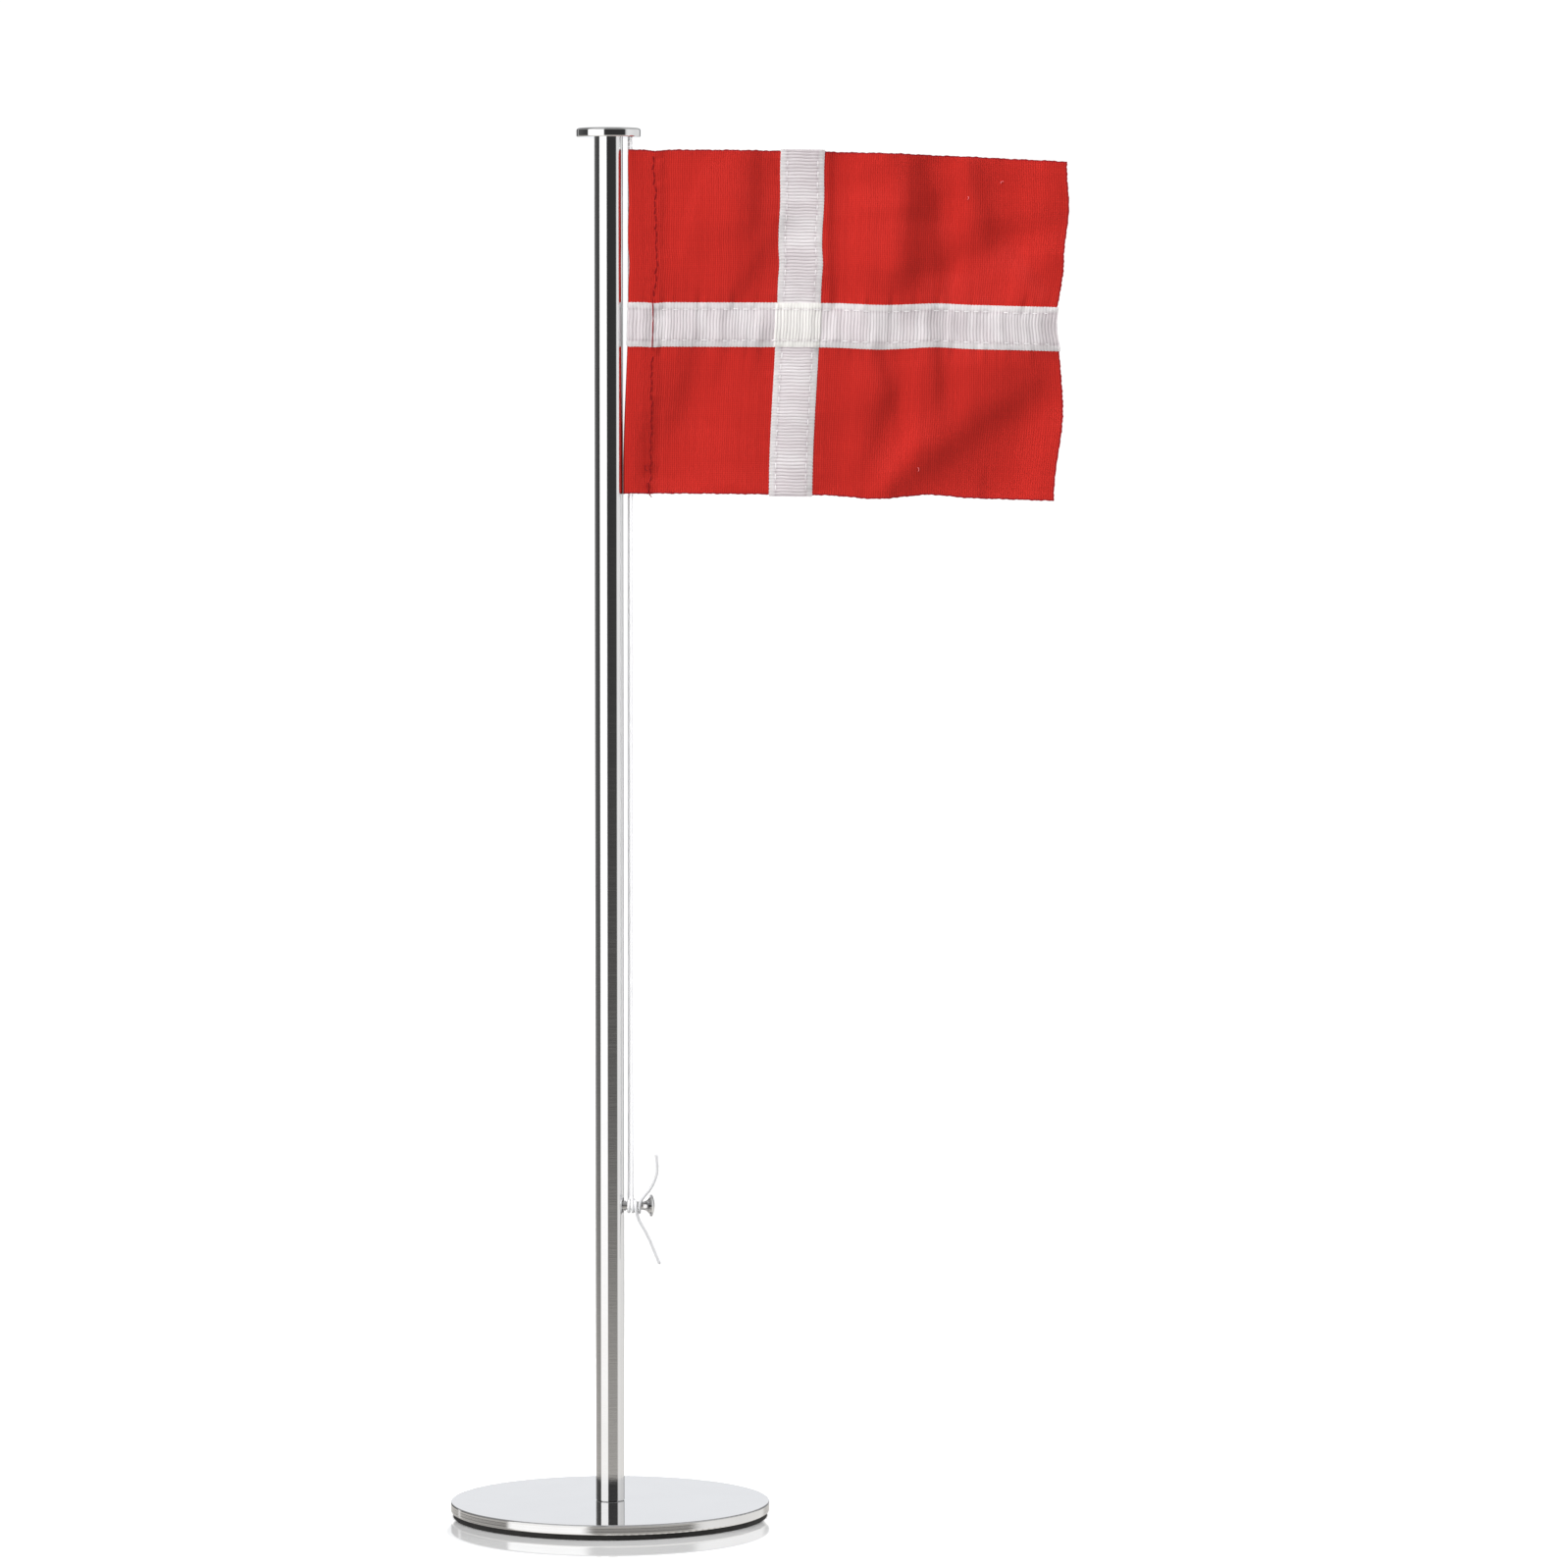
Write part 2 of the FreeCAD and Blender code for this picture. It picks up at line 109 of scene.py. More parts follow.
class Tree:
    """A few short ways to add nodes to a material or world."""

    def __init__(self, owner):
        owner.use_nodes = True
        self.nodes, self.links = owner.node_tree.nodes, owner.node_tree.links
        self.nodes.clear()

    def add(self, kind, inputs=(), **settings):
        node = self.nodes.new(kind)
        for name, value in settings.items():
            setattr(node, name, value)
        for name, value in dict(inputs).items():
            self.put(node.inputs[name], value)
        return node

    def put(self, socket, value):
        if isinstance(value, bpy.types.NodeSocket):
            self.links.new(value, socket)
        else:
            socket.default_value = value

    def math(self, operation, a, b=0.0):
        node = self.add("ShaderNodeMath", operation=operation)
        for socket, value in zip(node.inputs, (a, b)):
            self.put(socket, value)
        return node.outputs[0]

    def smooth_step(self, value, low, high, to_low=0.0, to_high=1.0):
        node = self.add(
            "ShaderNodeMapRange", interpolation_type="SMOOTHSTEP",
            inputs={"From Min": low, "From Max": high, "To Min": to_low, "To Max": to_high},
        )
        self.put(node.inputs["Value"], value)
        return node.outputs[0]

    def mix(self, factor, a, b, blend="MIX"):
        node = self.add("ShaderNodeMix", data_type="RGBA", blend_type=blend)
        for socket, value in zip((node.inputs[0], node.inputs[6], node.inputs[7]), (factor, a, b)):
            self.put(socket, value)
        return node.outputs[2]

    def noise(self, vector, scale, detail=3.0, roughness=0.5):
        node = self.add(
            "ShaderNodeTexNoise", {"Vector": vector, "Scale": scale, "Detail": detail, "Roughness": roughness}
        )
        return node.outputs[0]

    def stretched(self, vector, scale):
        """The vector with each part multiplied by its own scale."""
        return self.add("ShaderNodeMapping", {"Vector": vector, "Scale": scale}).outputs[0]

    def ramp(self, factor, stops):
        """Colours along a factor, from stops of (position, colour)."""
        node = self.add("ShaderNodeValToRGB", {"Fac": factor})
        elements = node.color_ramp.elements
        while len(elements) < len(stops):
            elements.new(0.5)
        for element, (position, color) in zip(elements, stops):
            element.position = position
            element.color = color
        return node.outputs[0]

    def bump(self, height, strength, distance):
        node = self.add("ShaderNodeBump", {"Height": height, "Strength": strength, "Distance": distance})
        return node.outputs[0]

    def uv(self):
        """U and V in millimetres, and the vector that holds them."""
        vector = self.add("ShaderNodeUVMap", uv_map="mm").outputs[0]
        parts = self.add("ShaderNodeSeparateXYZ", {"Vector": vector})
        return parts.outputs[0], parts.outputs[1], vector

    def place(self):
        return self.add("ShaderNodeTexCoord").outputs["Object"]

    def attribute(self, name):
        return self.add("ShaderNodeAttribute", attribute_name=name).outputs["Fac"]


def rgb(r, g, b):
    return (r, g, b, 1.0)


def gray(value):
    return rgb(value, value, value)


def surface(name, **sockets):
    """A material with one Principled shader, its tree and the shader. Sockets' names have _ for a space."""
    material = bpy.data.materials.new(name)
    tree = Tree(material)
    values = {socket.replace("_", " "): value for socket, value in sockets.items()}
    shader = tree.add("ShaderNodeBsdfPrincipled", values)
    tree.add("ShaderNodeOutputMaterial", {"Surface": shader.outputs[0]})
    return material, tree, shader


# ------------------------ materials


def steel(name, lines, line_scale, line_strength, roughness=(0.035, 0.075), line_depth=0.00002):
    """Polished stainless steel with faint polishing lines. lines gives the tree's line coordinate vector."""
    material, tree, shader = surface(name, Metallic=1.0)
    place = tree.place()
    smudge = tree.noise(place, 60.0, 4.0, 0.6)
    fine = tree.noise(tree.stretched(lines(tree, place), line_scale), 1.0, 3.0, 0.6)
    tree.put(shader.inputs["Base Color"], tree.mix(smudge, rgb(0.63, 0.63, 0.635), rgb(0.70, 0.70, 0.70)))
    uneven = tree.math("ADD", fine, smudge)
    tree.put(shader.inputs["Roughness"], tree.smooth_step(uneven, 0.7, 1.4, *roughness))
    tree.put(shader.inputs["Normal"], tree.bump(fine, line_strength, line_depth))
    return material


def straight_lines(tree, place):
    return place


def level_lines(tree, place):
    """Only the height, so that lines run level round the plate's wall and leave its top plain."""
    height = tree.add("ShaderNodeSeparateXYZ", {"Vector": place}).outputs[2]
    return tree.add("ShaderNodeCombineXYZ", {"Z": height}).outputs[0]


def round_lines(axis):
    """Coordinates whose first part is the distance from an axis, for marks that turning leaves."""

    def lines(tree, place):
        if axis == "X":
            place = tree.add(
                "ShaderNodeVectorMath", operation="SUBTRACT", inputs={0: place, 1: (0, 0, CLEAT_Z * MM)}
            ).outputs[0]
        parts = tree.add("ShaderNodeSeparateXYZ", {"Vector": place}).outputs
        x, y, along = (parts[0], parts[1], parts[2]) if axis == "Z" else (parts[1], parts[2], parts[0])
        radius = tree.math("SQRT", tree.math("ADD", tree.math("MULTIPLY", x, x), tree.math("MULTIPLY", y, y)))
        return tree.add("ShaderNodeCombineXYZ", {"X": radius, "Y": along, "Z": 0.0}).outputs[0]

    return lines


def foam_rubber():
    material, tree, shader = surface("foam_rubber", Roughness=0.85, Specular_IOR_Level=0.25)
    place = tree.place()
    cells = tree.add("ShaderNodeTexVoronoi", {"Vector": place, "Scale": 2600.0}).outputs["Distance"]
    blotches = tree.noise(place, 240.0, 4.0)
    tree.put(shader.inputs["Base Color"], tree.mix(blotches, gray(0.010), rgb(0.028, 0.027, 0.026)))
    tree.put(shader.inputs["Normal"], tree.bump(cells, 0.6, 0.0002))
    return material


def waves(tree, value, pitch, sharpness=1.0):
    """Rounded ridges, 0 in the grooves and 1 on top."""
    turned = tree.math("MULTIPLY", value, math.pi / pitch)
    ridge = tree.math("ABSOLUTE", tree.math("SINE", turned))
    return tree.math("POWER", ridge, sharpness)


def red_weave():
    """A plain weave with heavier yarns up and down, uneven yarns, and a darker line where it was cut hot."""
    material, tree, shader = surface(
        "red_cloth", Roughness=0.66, Specular_IOR_Level=0.2, Sheen_Weight=0.08, Sheen_Roughness=0.4,
        Sheen_Tint=rgb(1.0, 0.45, 0.40),
    )
    u, v, vector = tree.uv()
    sway = tree.math("MULTIPLY", tree.math("SUBTRACT", tree.noise(vector, 0.05, 2.0), 0.5), 1.4)
    upright = waves(tree, tree.math("ADD", u, sway), WARP_PITCH, 0.8)
    level = waves(tree, tree.math("ADD", v, sway), WEFT_PITCH, 0.8)
    thick = tree.noise(tree.stretched(vector, (1.6, 0.02, 1.0)), 1.0, 2.0)
    thin = tree.noise(tree.stretched(vector, (0.03, 1.9, 1.0)), 1.0, 2.0)
    yarn = tree.math("MULTIPLY", upright, tree.smooth_step(thick, 0.3, 0.7, 0.75, 1.1))
    cross = tree.math("MULTIPLY", level, tree.smooth_step(thin, 0.3, 0.7, 0.6, 1.1))
    height = tree.math("ADD", tree.math("MULTIPLY", yarn, 0.72), tree.math("MULTIPLY", cross, 0.28))
    # Painted shade and highlight of the weave: dark where the yarns dip, light on their tops.
    tone = tree.mix(height, rgb(0.29, 0.009, 0.007), rgb(0.468, 0.0205, 0.0142))
    cut = tree.attribute("cut_edge")
    tree.put(shader.inputs["Base Color"], tree.mix(cut, tone, rgb(0.20, 0.006, 0.012)))
    tree.put(shader.inputs["Normal"], tree.bump(height, 0.5, 0.0002))
    return material


def grosgrain():
    """White ribbon. Where it lies on red cloth the red shows through a little, and over ribbon it is
    creamier. Painted shade darkens the grooves between its ribs and the dimples at its selvedges."""
    material, tree, shader = surface(
        "white_ribbon", Roughness=0.5, Specular_IOR_Level=0.4, Sheen_Weight=0.2, Sheen_Roughness=0.4
    )
    _, v, vector = tree.uv()
    sway = tree.math("MULTIPLY", tree.noise(vector, 0.6), 0.2)
    yarn = waves(tree, tree.math("ADD", v, sway), YARN_PITCH, 0.7)
    patchy = tree.noise(tree.stretched(vector, (0.16, 0.04, 1.0)), 1.0, 2.0)
    over = tree.attribute("over_ribbon")
    groove = tree.attribute("groove")
    edge = tree.attribute("selvedge")
    single = tree.mix(tree.smooth_step(patchy, 0.35, 0.65), rgb(0.56, 0.515, 0.53), rgb(0.63, 0.60, 0.61))
    single = tree.mix(edge, single, rgb(0.545, 0.52, 0.525))
    tone = tree.mix(over, single, rgb(0.67, 0.66, 0.635))
    # Painted shade in the ribs' grooves: darker where the groove mask is high.
    shaded = tree.mix(tree.math("MULTIPLY", groove, 0.78), tone, rgb(0.26, 0.21, 0.23))
    tree.put(shader.inputs["Base Color"], shaded)
    tree.put(shader.inputs["Normal"], tree.bump(yarn, 0.25, 0.0001))
    return material


def twisted_thread(name, color, dark):
    """Sewing thread, with painted shade between its plies."""
    material, tree, shader = surface(name, Roughness=0.6, Specular_IOR_Level=0.2)
    u, v, _ = tree.uv()
    ply = waves(tree, tree.math("ADD", u, tree.math("MULTIPLY", v, 0.5)), PLY_PITCH)
    # Painted shade: the dark colour where the plies dip.
    tree.put(shader.inputs["Base Color"], tree.mix(ply, rgb(*dark), rgb(*color)))
    tree.put(shader.inputs["Normal"], tree.bump(ply, 0.5, 0.00005))
    return material


def braided_cord():
    """White cord, with painted shade between its strands and on its loose ends."""
    material, tree, shader = surface(
        "halyard_braid", Roughness=0.6, Specular_IOR_Level=0.3, Sheen_Weight=0.3, Sheen_Roughness=0.4
    )
    _, _, vector = tree.uv()
    fibre = tree.noise(tree.stretched(vector, (9.0, 1.4, 1.0)), 1.0, 3.0)
    cord_tone = tree.mix(fibre, rgb(0.76, 0.76, 0.77), rgb(0.82, 0.82, 0.83))
    # Painted shade: the loose ends get a darker grey than the strand.
    tone = tree.mix(tree.attribute("worn"), cord_tone, rgb(0.54, 0.54, 0.55))
    # Painted shade between the braid's strands, where the groove mask is high.
    dip = tree.math("MULTIPLY", tree.attribute("groove"), 0.5)
    tree.put(shader.inputs["Base Color"], tree.mix(dip, tone, rgb(0.55, 0.55, 0.57)))
    tree.put(shader.inputs["Normal"], tree.bump(fibre, 0.3, 0.00005))
    return material


def dress_metal():
    """Materials on the CAD pieces that stay as they are."""
    pole = steel("pole_steel", straight_lines, (60.0, 60.0, 9000.0), 0.25)
    plate = steel("plate_steel", level_lines, (1.0, 1.0, 1500.0), 1.0, (0.03, 0.06), 0.0001)
    disc = steel("disc_steel", round_lines("Z"), (6000.0, 9000.0, 1.0), 0.08, (0.03, 0.07))
    stud = steel("stud_steel", round_lines("X"), (5000.0, 8000.0, 1.0), 0.1, (0.06, 0.12))
    turned = steel("turned_steel", round_lines("Z"), (4000.0, 7000.0, 1.0), 0.4, (0.22, 0.34))
    pad = foam_rubber()
    looks = {"pole_tube": pole, "base_plate": plate, "top_cap": disc, "cleat_stud": stud, "base_pad": pad}
    for name in ("base_screw", "foot_plug", "head_plug", "cleat_anchor"):
        looks[name] = turned
    for name, material in looks.items():
        NODES[name].data.materials.clear()
        NODES[name].data.materials.append(material)


# ------------------------ meshes


def mesh_object(name, points, faces, material, uv=None, **attributes):
    """A smooth mesh from points in millimetres. uv and attributes hold a value for each point."""
    mesh = bpy.data.meshes.new(name)
    mesh.from_pydata((np.asarray(points, float) * MM).tolist(), [], faces)
    if uv is not None:
        layer = mesh.uv_layers.new(name="mm")
        corner_points = np.empty(len(mesh.loops), np.int32)
        mesh.loops.foreach_get("vertex_index", corner_points)
        layer.data.foreach_set("uv", np.asarray(uv, np.float32)[corner_points].ravel())
    for label, values in attributes.items():
        layer = mesh.attributes.new(label, "FLOAT", "POINT")
        layer.data.foreach_set("value", np.asarray(values, np.float32).ravel())
    mesh.shade_smooth()
    mesh.set_sharp_from_angle(angle=math.radians(70))
    mesh.materials.append(material)
    made = bpy.data.objects.new(name, mesh)
    bpy.context.scene.collection.objects.link(made)
    return made


def closed_sheet(outer, inner):
    """Points and faces of a thin closed sheet, from the grids of its outer and inner faces."""
    rows, columns = outer.shape[:2]
    count = rows * columns
    index = np.arange(count).reshape(rows, columns)
    a, b, c, d = index[:-1, :-1], index[:-1, 1:], index[1:, 1:], index[1:, :-1]
    front = np.stack([a, b, c, d], -1).reshape(-1, 4)
    back = front[:, ::-1] + count
    border = np.concatenate([index[0, :], index[1:, -1], index[-1, -2::-1], index[-2:0:-1, 0]])
    after = np.roll(border, -1)
    wall = np.stack([after, border, border + count, after + count], -1)
    faces = np.concatenate([front, back, wall]).tolist()
    return np.concatenate([outer.reshape(-1, 3), inner.reshape(-1, 3)]), faces


def grid_normals(grid):
    """The direction that a grid of points faces at each point."""
    along = np.gradient(grid, axis=1)
    up = np.gradient(grid, axis=0)
    normal = np.cross(along, up)
    return normal / np.linalg.norm(normal, axis=2, keepdims=True)


def smooth(value, low, high):
    """0 below low and 1 above high, with an easy slope between."""
    share = np.clip((value - low) / (high - low), 0, 1)
    return share * share * (3 - 2 * share)


def bell(value, middle, width):
    return np.exp(-(((value - middle) / width) ** 2))


# ------------------------ halyard


def spline_points(name, control):
    """Points along the smooth curve that a cord's route controls, in millimetres."""
    curve = bpy.data.curves.new(name, "CURVE")
    curve.dimensions = "3D"
    spline = curve.splines.new("NURBS")
    spline.points.add(len(control) - 1)
    for point, place in zip(spline.points, control):
        point.co = (*[value * MM for value in place], 1.0)
    spline.order_u = 3
    spline.use_endpoint_u = True
    spline.resolution_u = 12
    guide = bpy.data.objects.new(name, curve)
    bpy.context.scene.collection.objects.link(guide)
    bpy.context.view_layer.update()
    line = bpy.data.meshes.new_from_object(guide)
    points = [Vector(vertex.co) / MM for vertex in line.vertices]
    bpy.data.objects.remove(guide)
    bpy.data.meshes.remove(line)
    return points


def evenly(points, step):
    """The same line with its points about a step apart, and how far along it each one is."""
    places = np.array(points)
    reach = np.concatenate([[0], np.cumsum(np.linalg.norm(np.diff(places, axis=0), axis=1))])
    count = max(2, int(round(reach[-1] / step)) + 1)
    at = np.linspace(0, reach[-1], count)
    return np.stack([np.interp(at, reach, places[:, k]) for k in range(3)], -1), at


def frames_along(points):
    """Two directions across a line at each of its points, carried along without twist."""
    tangents = np.gradient(points, axis=0)
    tangents /= np.linalg.norm(tangents, axis=1, keepdims=True)
    side = np.cross(tangents[0], (0.3, 1.0, 0.2))
    sides = []
    for tangent in tangents:
        side = side - tangent * side.dot(tangent)
        side = side / np.linalg.norm(side)
        sides.append(side)
    sides = np.array(sides)
    return sides, np.cross(tangents, sides)


def tube_faces(rings, around):
    """The faces of a tube made of rings of points, and one over each of its ends."""
    faces = []
    for ring in range(rings - 1):
        low, high = ring * around, (ring + 1) * around
        for k in range(around):
            after = (k + 1) % around
            faces.append((low + k, low + after, high + after, high + k))
    faces.append(tuple(range(around))[::-1])
    faces.append(tuple((rings - 1) * around + k for k in range(around)))
    return faces


def braided_tube(name, control, material, is_cut=False):
    """A cord of interlaced strands along a route, whose far end may be a cut one. Also gives its middle line
    and its length, in metres."""
    points, at = evenly(spline_points(name + "_line", control), BRAID_STEP)
    sides, ups = frames_along(points)
    angle = np.linspace(0, 2 * math.pi, BRAID_AROUND, endpoint=False)[None, :]
    turn = (2 * math.pi * at / BRAID_LAY)[:, None]
    right = np.cos(BRAID_STRANDS * (angle + turn))
    left = np.cos(BRAID_STRANDS * (angle - turn))
    woven = np.maximum(right, left)
    radius = CORD_R * (1 - BRAID_RELIEF + BRAID_RELIEF * woven)
    worn = np.zeros_like(at)
    if is_cut:
        to_end = at[-1] - at
        closing = np.sqrt(np.clip(1 - (1 - np.clip(to_end / CUT_ROUND, 0, 1)) ** 2, 0.02, 1))
        swollen = 1 + 0.12 * bell(to_end, 0.7, 0.4)
        radius = radius * (closing * swollen)[:, None]
        # The loose end's last stretch, which the cord's material paints darker as shade.
        worn = smooth(at, at[-1] - 1.1 * SHADED_END, at[-1] - 0.9 * SHADED_END)
    ring = sides[:, None, :] * np.cos(angle)[..., None] + ups[:, None, :] * np.sin(angle)[..., None]
    shell = points[:, None, :] + ring * radius[..., None]
    uv = np.stack(np.broadcast_arrays(angle, at[:, None]), -1).reshape(-1, 2)
    # groove marks where the cord's material paints shade between the braid's strands.
    cord = mesh_object(
        name, shell.reshape(-1, 3), tube_faces(len(at), BRAID_AROUND), material, uv,
        groove=smooth(-woven, -0.5, 0.5), worn=np.repeat(worn, BRAID_AROUND),
    )
    return cord, (points * MM).tolist(), at[-1] * MM


def on_stud(x, turned, radius):
    """A place round the stud: turned counts degrees from its back (+Y) over its top."""
    angle = math.radians(turned)
    return (x, radius * math.cos(angle), CLEAT_Z + radius * math.sin(angle))


def wound(x_at, radius_at, start, end):
    """Control points of a cord wound on the stud between two angles. x_at and radius_at take the share of
    the winding that is done."""
    count = max(2, round(abs(end - start) / 360 * POINTS_PER_TURN))
    shares = [i / count for i in range(count + 1)]
    return [on_stud(x_at(share), start + (end - start) * share, radius_at(share)) for share in shares]


def return_route():
    """Over through the cap, down behind the flag, a turn on the stud, over the other cord's turns at the
    back, half a turn more, and the loose end that rises."""

    def x_at(share):
        return 5.35 + 3.0 * float(smooth(share, 0.46, 0.86))

    def radius_at(share):
        lifted = float(bell(share, 0.68, 0.13))
        return WOUND_R + (OVER_R - TURN_R + 0.12) * lifted

    return [
        (STRAND_X, STRAND_Y, 387.75),
        (STRAND_X, STRAND_Y, 389.3),
        (5.75, 1.8, 389.3),
        (5.745, 1.79, 384.0),
        (5.456, 1.31, 94.2),
        (5.37, 1.55, 90.0),
        *wound(x_at, radius_at, 0, -540),
        (8.7, -1.55, 89.3),
        (9.7, -1.0, 90.6),
        (11.3, -0.8, 92.3),
        (12.7, -1.0, 95.0),
        (13.6, -0.9, 98.3),
        (13.0, -0.7, 102.4),
    ]


def lower_route():
    """From the flag's strand, down the stud's front, once round it, and the loose end that hangs."""

    def x_at(share):
        return STRAND_X + 0.95 * share

    def radius_at(share):
        return WOUND_R

    return [
        (STRAND_X, STRAND_Y, STRAND_LOW),
        (STRAND_X, -1.35, 89.0),
        *wound(x_at, radius_at, 180, 540),
        (7.4, -1.75, 86.2),
        (8.1, -1.8, 83.9),
        (9.7, -1.9, 81.3),
        (11.3, -2.1, 78.3),
        (12.6, -2.2, 75.0),
        (14.1, -2.3, 71.5),
    ]


def make_halyard():
    material = braided_cord()
    middle = (STRAND_LOW + STRAND_HIGH) / 2
    strand_route = [(STRAND_X, STRAND_Y, z) for z in (STRAND_HIGH, middle, STRAND_LOW)]
    strand, path, length = braided_tube("halyard_in_hem", strand_route, material)
    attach(strand, "flag_strand")
    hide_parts("halyard_flag_strand")

    back, path, length = braided_tube("halyard_over_cap", return_route(), material, is_cut=True)
    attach(back, "stand")
    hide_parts("halyard_return", "halyard_turns", "halyard_upper_tail")

    lower, path, length = braided_tube("halyard_lower_end", lower_route(), material, is_cut=True)
    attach(lower, "stand")
    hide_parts("halyard_lower_tail")


# ------------------------ the flag's hanging shape

# Each soft fold is a line, from (x, z) to (x, z), the half width of its slope, and how far back the cloth
# on its right lies.
FOLDS = (
    # above the ribbon, before the crossing
    ((40.3, 364), (41.7, 384), 3.2, 2.4),
    ((35.5, 343), (47.8, 362), 2.8, 1.5),
    ((21.0, 359), (24.0, 371), 1.5, -0.7),
    ((30.0, 345), (31.0, 380), 6.0, -1.6),
    ((15.0, 366), (15.5, 384), 1.0, 0.3),
    ((18.0, 362), (18.5, 384), 1.0, -0.3),
    # above the ribbon, beyond the crossing
    ((62.4, 343), (62.2, 384), 1.3, 1.1),
    ((69.5, 343), (69.7, 380), 3.0, -2.0),
    ((73.9, 384), (76.6, 377), 1.6, 0.8),
    ((77.0, 350), (79.0, 372), 3.5, -1.7),
    ((84.8, 351), (86.2, 384), 3.9, 4.3),
    ((93.0, 344), (89.5, 368), 3.0, 2.4),
    ((98.5, 366), (98.0, 380), 3.5, -3.4),
    ((106.7, 360), (101.0, 384), 3.4, 3.0),
    ((96.0, 343), (98.0, 350), 2.0, -1.2),
    ((112.0, 342), (114.0, 350), 2.2, -1.2),
    ((123.0, 341), (113.6, 354), 2.2, 1.4),
    ((117.5, 356), (118.5, 384), 5.0, -2.8),
    # below the ribbon, before the crossing
    ((19.0, 311), (23.8, 329), 2.8, 1.5),
    ((6.7, 296), (11.8, 313), 2.8, 0.8),
    ((30.7, 323), (33.4, 330), 1.5, 0.6),
    ((28.0, 292), (33.0, 335), 12.0, -4.6),
    ((41.5, 325), (42.5, 330), 1.2, 0.5),
    ((49.5, 296), (50.5, 327), 5.0, -1.6),
    # below the ribbon, beyond the crossing
    ((67.0, 292), (70.0, 324), 4.0, -1.4),
    ((78.6, 316), (75.0, 330), 2.0, 1.4),
    ((72.5, 299), (78.6, 315), 2.8, 1.3),
    ((75.0, 290), (83.4, 302), 3.0, -1.8),
    ((83.4, 303), (85.0, 324), 3.2, -1.8),
    ((92.4, 318), (91.7, 330), 1.9, 1.7),
    ((98.0, 312), (97.5, 324), 3.0, -1.0),
    ((82.0, 290), (118.0, 317), 4.4, 3.0),
    ((112.0, 322), (122.0, 327), 3.0, 0.8),
    ((117.0, 288), (120.5, 306), 4.5, -3.0),
    ((104.0, 286), (104.5, 290), 1.2, 0.5),
)
FOLD_END, FOLD_REACH = 6.0, 26.0  # over which a fold dies out past its line's ends, and away from the line


def fold_depth(x, z):
    """How far back the hanging cloth lies at a place on the flag."""
    depth = np.zeros_like(x)
    for (x0, z0), (x1, z1), half_width, step in FOLDS:
        length = math.hypot(x1 - x0, z1 - z0)
        along_x, along_z = (x1 - x0) / length, (z1 - z0) / length
        along = (x - x0) * along_x + (z - z0) * along_z
        across = (x - x0) * along_z - (z - z0) * along_x
        beyond = np.maximum(np.maximum(-along, along - length), 0)
        fading = np.exp(-((beyond / FOLD_END) ** 2) - (across / FOLD_REACH) ** 2)
        depth += 0.5 * step * np.tanh(across / half_width) * fading
    return depth


def fold_x(t):
    """Where the hem's fold is: nearer the pole lower down, and a little wavy higher up."""
    share = t / FLAG_HEIGHT
    lean = 4.15 + 1.5 * smooth(share, 0.05, 0.6)
    wavy = 0.12 * np.sin(t / 3.1) * smooth(share, 0.5, 0.7)
    return lean + wavy + 0.18 * bell(t, 65.0, 3.0)


def pucker(along, seed):
    """How much a seam draws the cloth in along its length, up to about 2 either way."""
    slow = np.sin(along * 0.41 + 0.7 * seed) * np.sin(along * 0.27 + 1.9 * seed)
    quick = np.sin(along * 1.13 + seed + 1.4 * slow) + 0.6 * np.sin(along * 1.93 + 2.1 * seed)
    return quick * (0.25 + 0.75 * slow**2) + 0.5 * slow


def puckers(d, t):
    """The small creases that the seams leave in the cloth beside them: the hem's, the horizontal ribbon's,
    the vertical ribbon's, and those of the cut edges above and below."""
    depth = 0.12 * pucker(t, 0.3) * bell(d, HEM_STITCH + 1.2, 1.6)
    depth = depth + 0.10 * pucker(t, 2.2) * bell(d, HEM_STITCH - 1.6, 1.5)
    for edge, outward, seed in ((RIBBON_H_START, -1, 1.1), (RIBBON_H_START + RIBBON_W, 1, 2.9)):
        away = (t - edge) * outward
        depth = depth + 0.20 * pucker(d, seed) * bell(away, 0.3, 2.8)
    for edge, outward, seed in ((RIBBON_V_START, -1, 4.4), (RIBBON_V_START + RIBBON_W, 1, 5.6)):
        away = (d - edge) * outward
        depth = depth + 0.10 * pucker(t, seed) * bell(away, 0.3, 2.6)
    for edge, seed in ((0.0, 0.9), (FLAG_HEIGHT, 3.7)):
        depth = depth + 0.12 * pucker(0.7 * d, seed) * bell(t, edge, 2.4)
    return depth


def hanging(d, t):
    """Where the cloth's middle surface hangs, d from the fold and t above the lower edge when flat."""
    share_up, share_out = t / FLAG_HEIGHT, d / FLAG_LENGTH
    # Out along the flag: folds shorten it a little, its fly end waves, and the vertical ribbon leans.
    shortened = d * (0.968 + 0.015 * share_up**2)
    fly_wave = 1.3 * bell(t, 82.0, 13.0) - 1.4 * bell(t, 50.0, 7.0) + 2.2 * bell(t, 23.0, 14.0)
    x = fold_x(t) + shortened + fly_wave * share_out**5
    x = x + RIBBON_LEAN * (share_up - 0.5) * bell(d, 49.0, 28.0)
    # Up: both edges drop towards the fly. The hem's seam nips the upper one, and the lower one waves.
    top = FLAG_TOP_Z - FLY_DROP_TOP * share_out**2.2 - 0.45 * bell(d, HEM_STITCH, 2.0)
    low = HOIST_LOW_Z - FLY_DROP_LOW * share_out**2 - 0.8 * bell(d, 72.0, 8.0) + 0.7 * bell(d, 89.0, 7.0)
    z = low + (top - low) * share_up + 1.4 * share_out**2 * np.sin(math.pi * np.clip(share_up, 0, 1))
    # Back and forth: the folds and the seams' creases, both fading out at the hem's fold.
    y = FLAG_Y + fold_depth(x, z) * smooth(d, 2.0, 10.0) + puckers(d, t) * smooth(d, 1.5, 5.0)
    return x, y, z


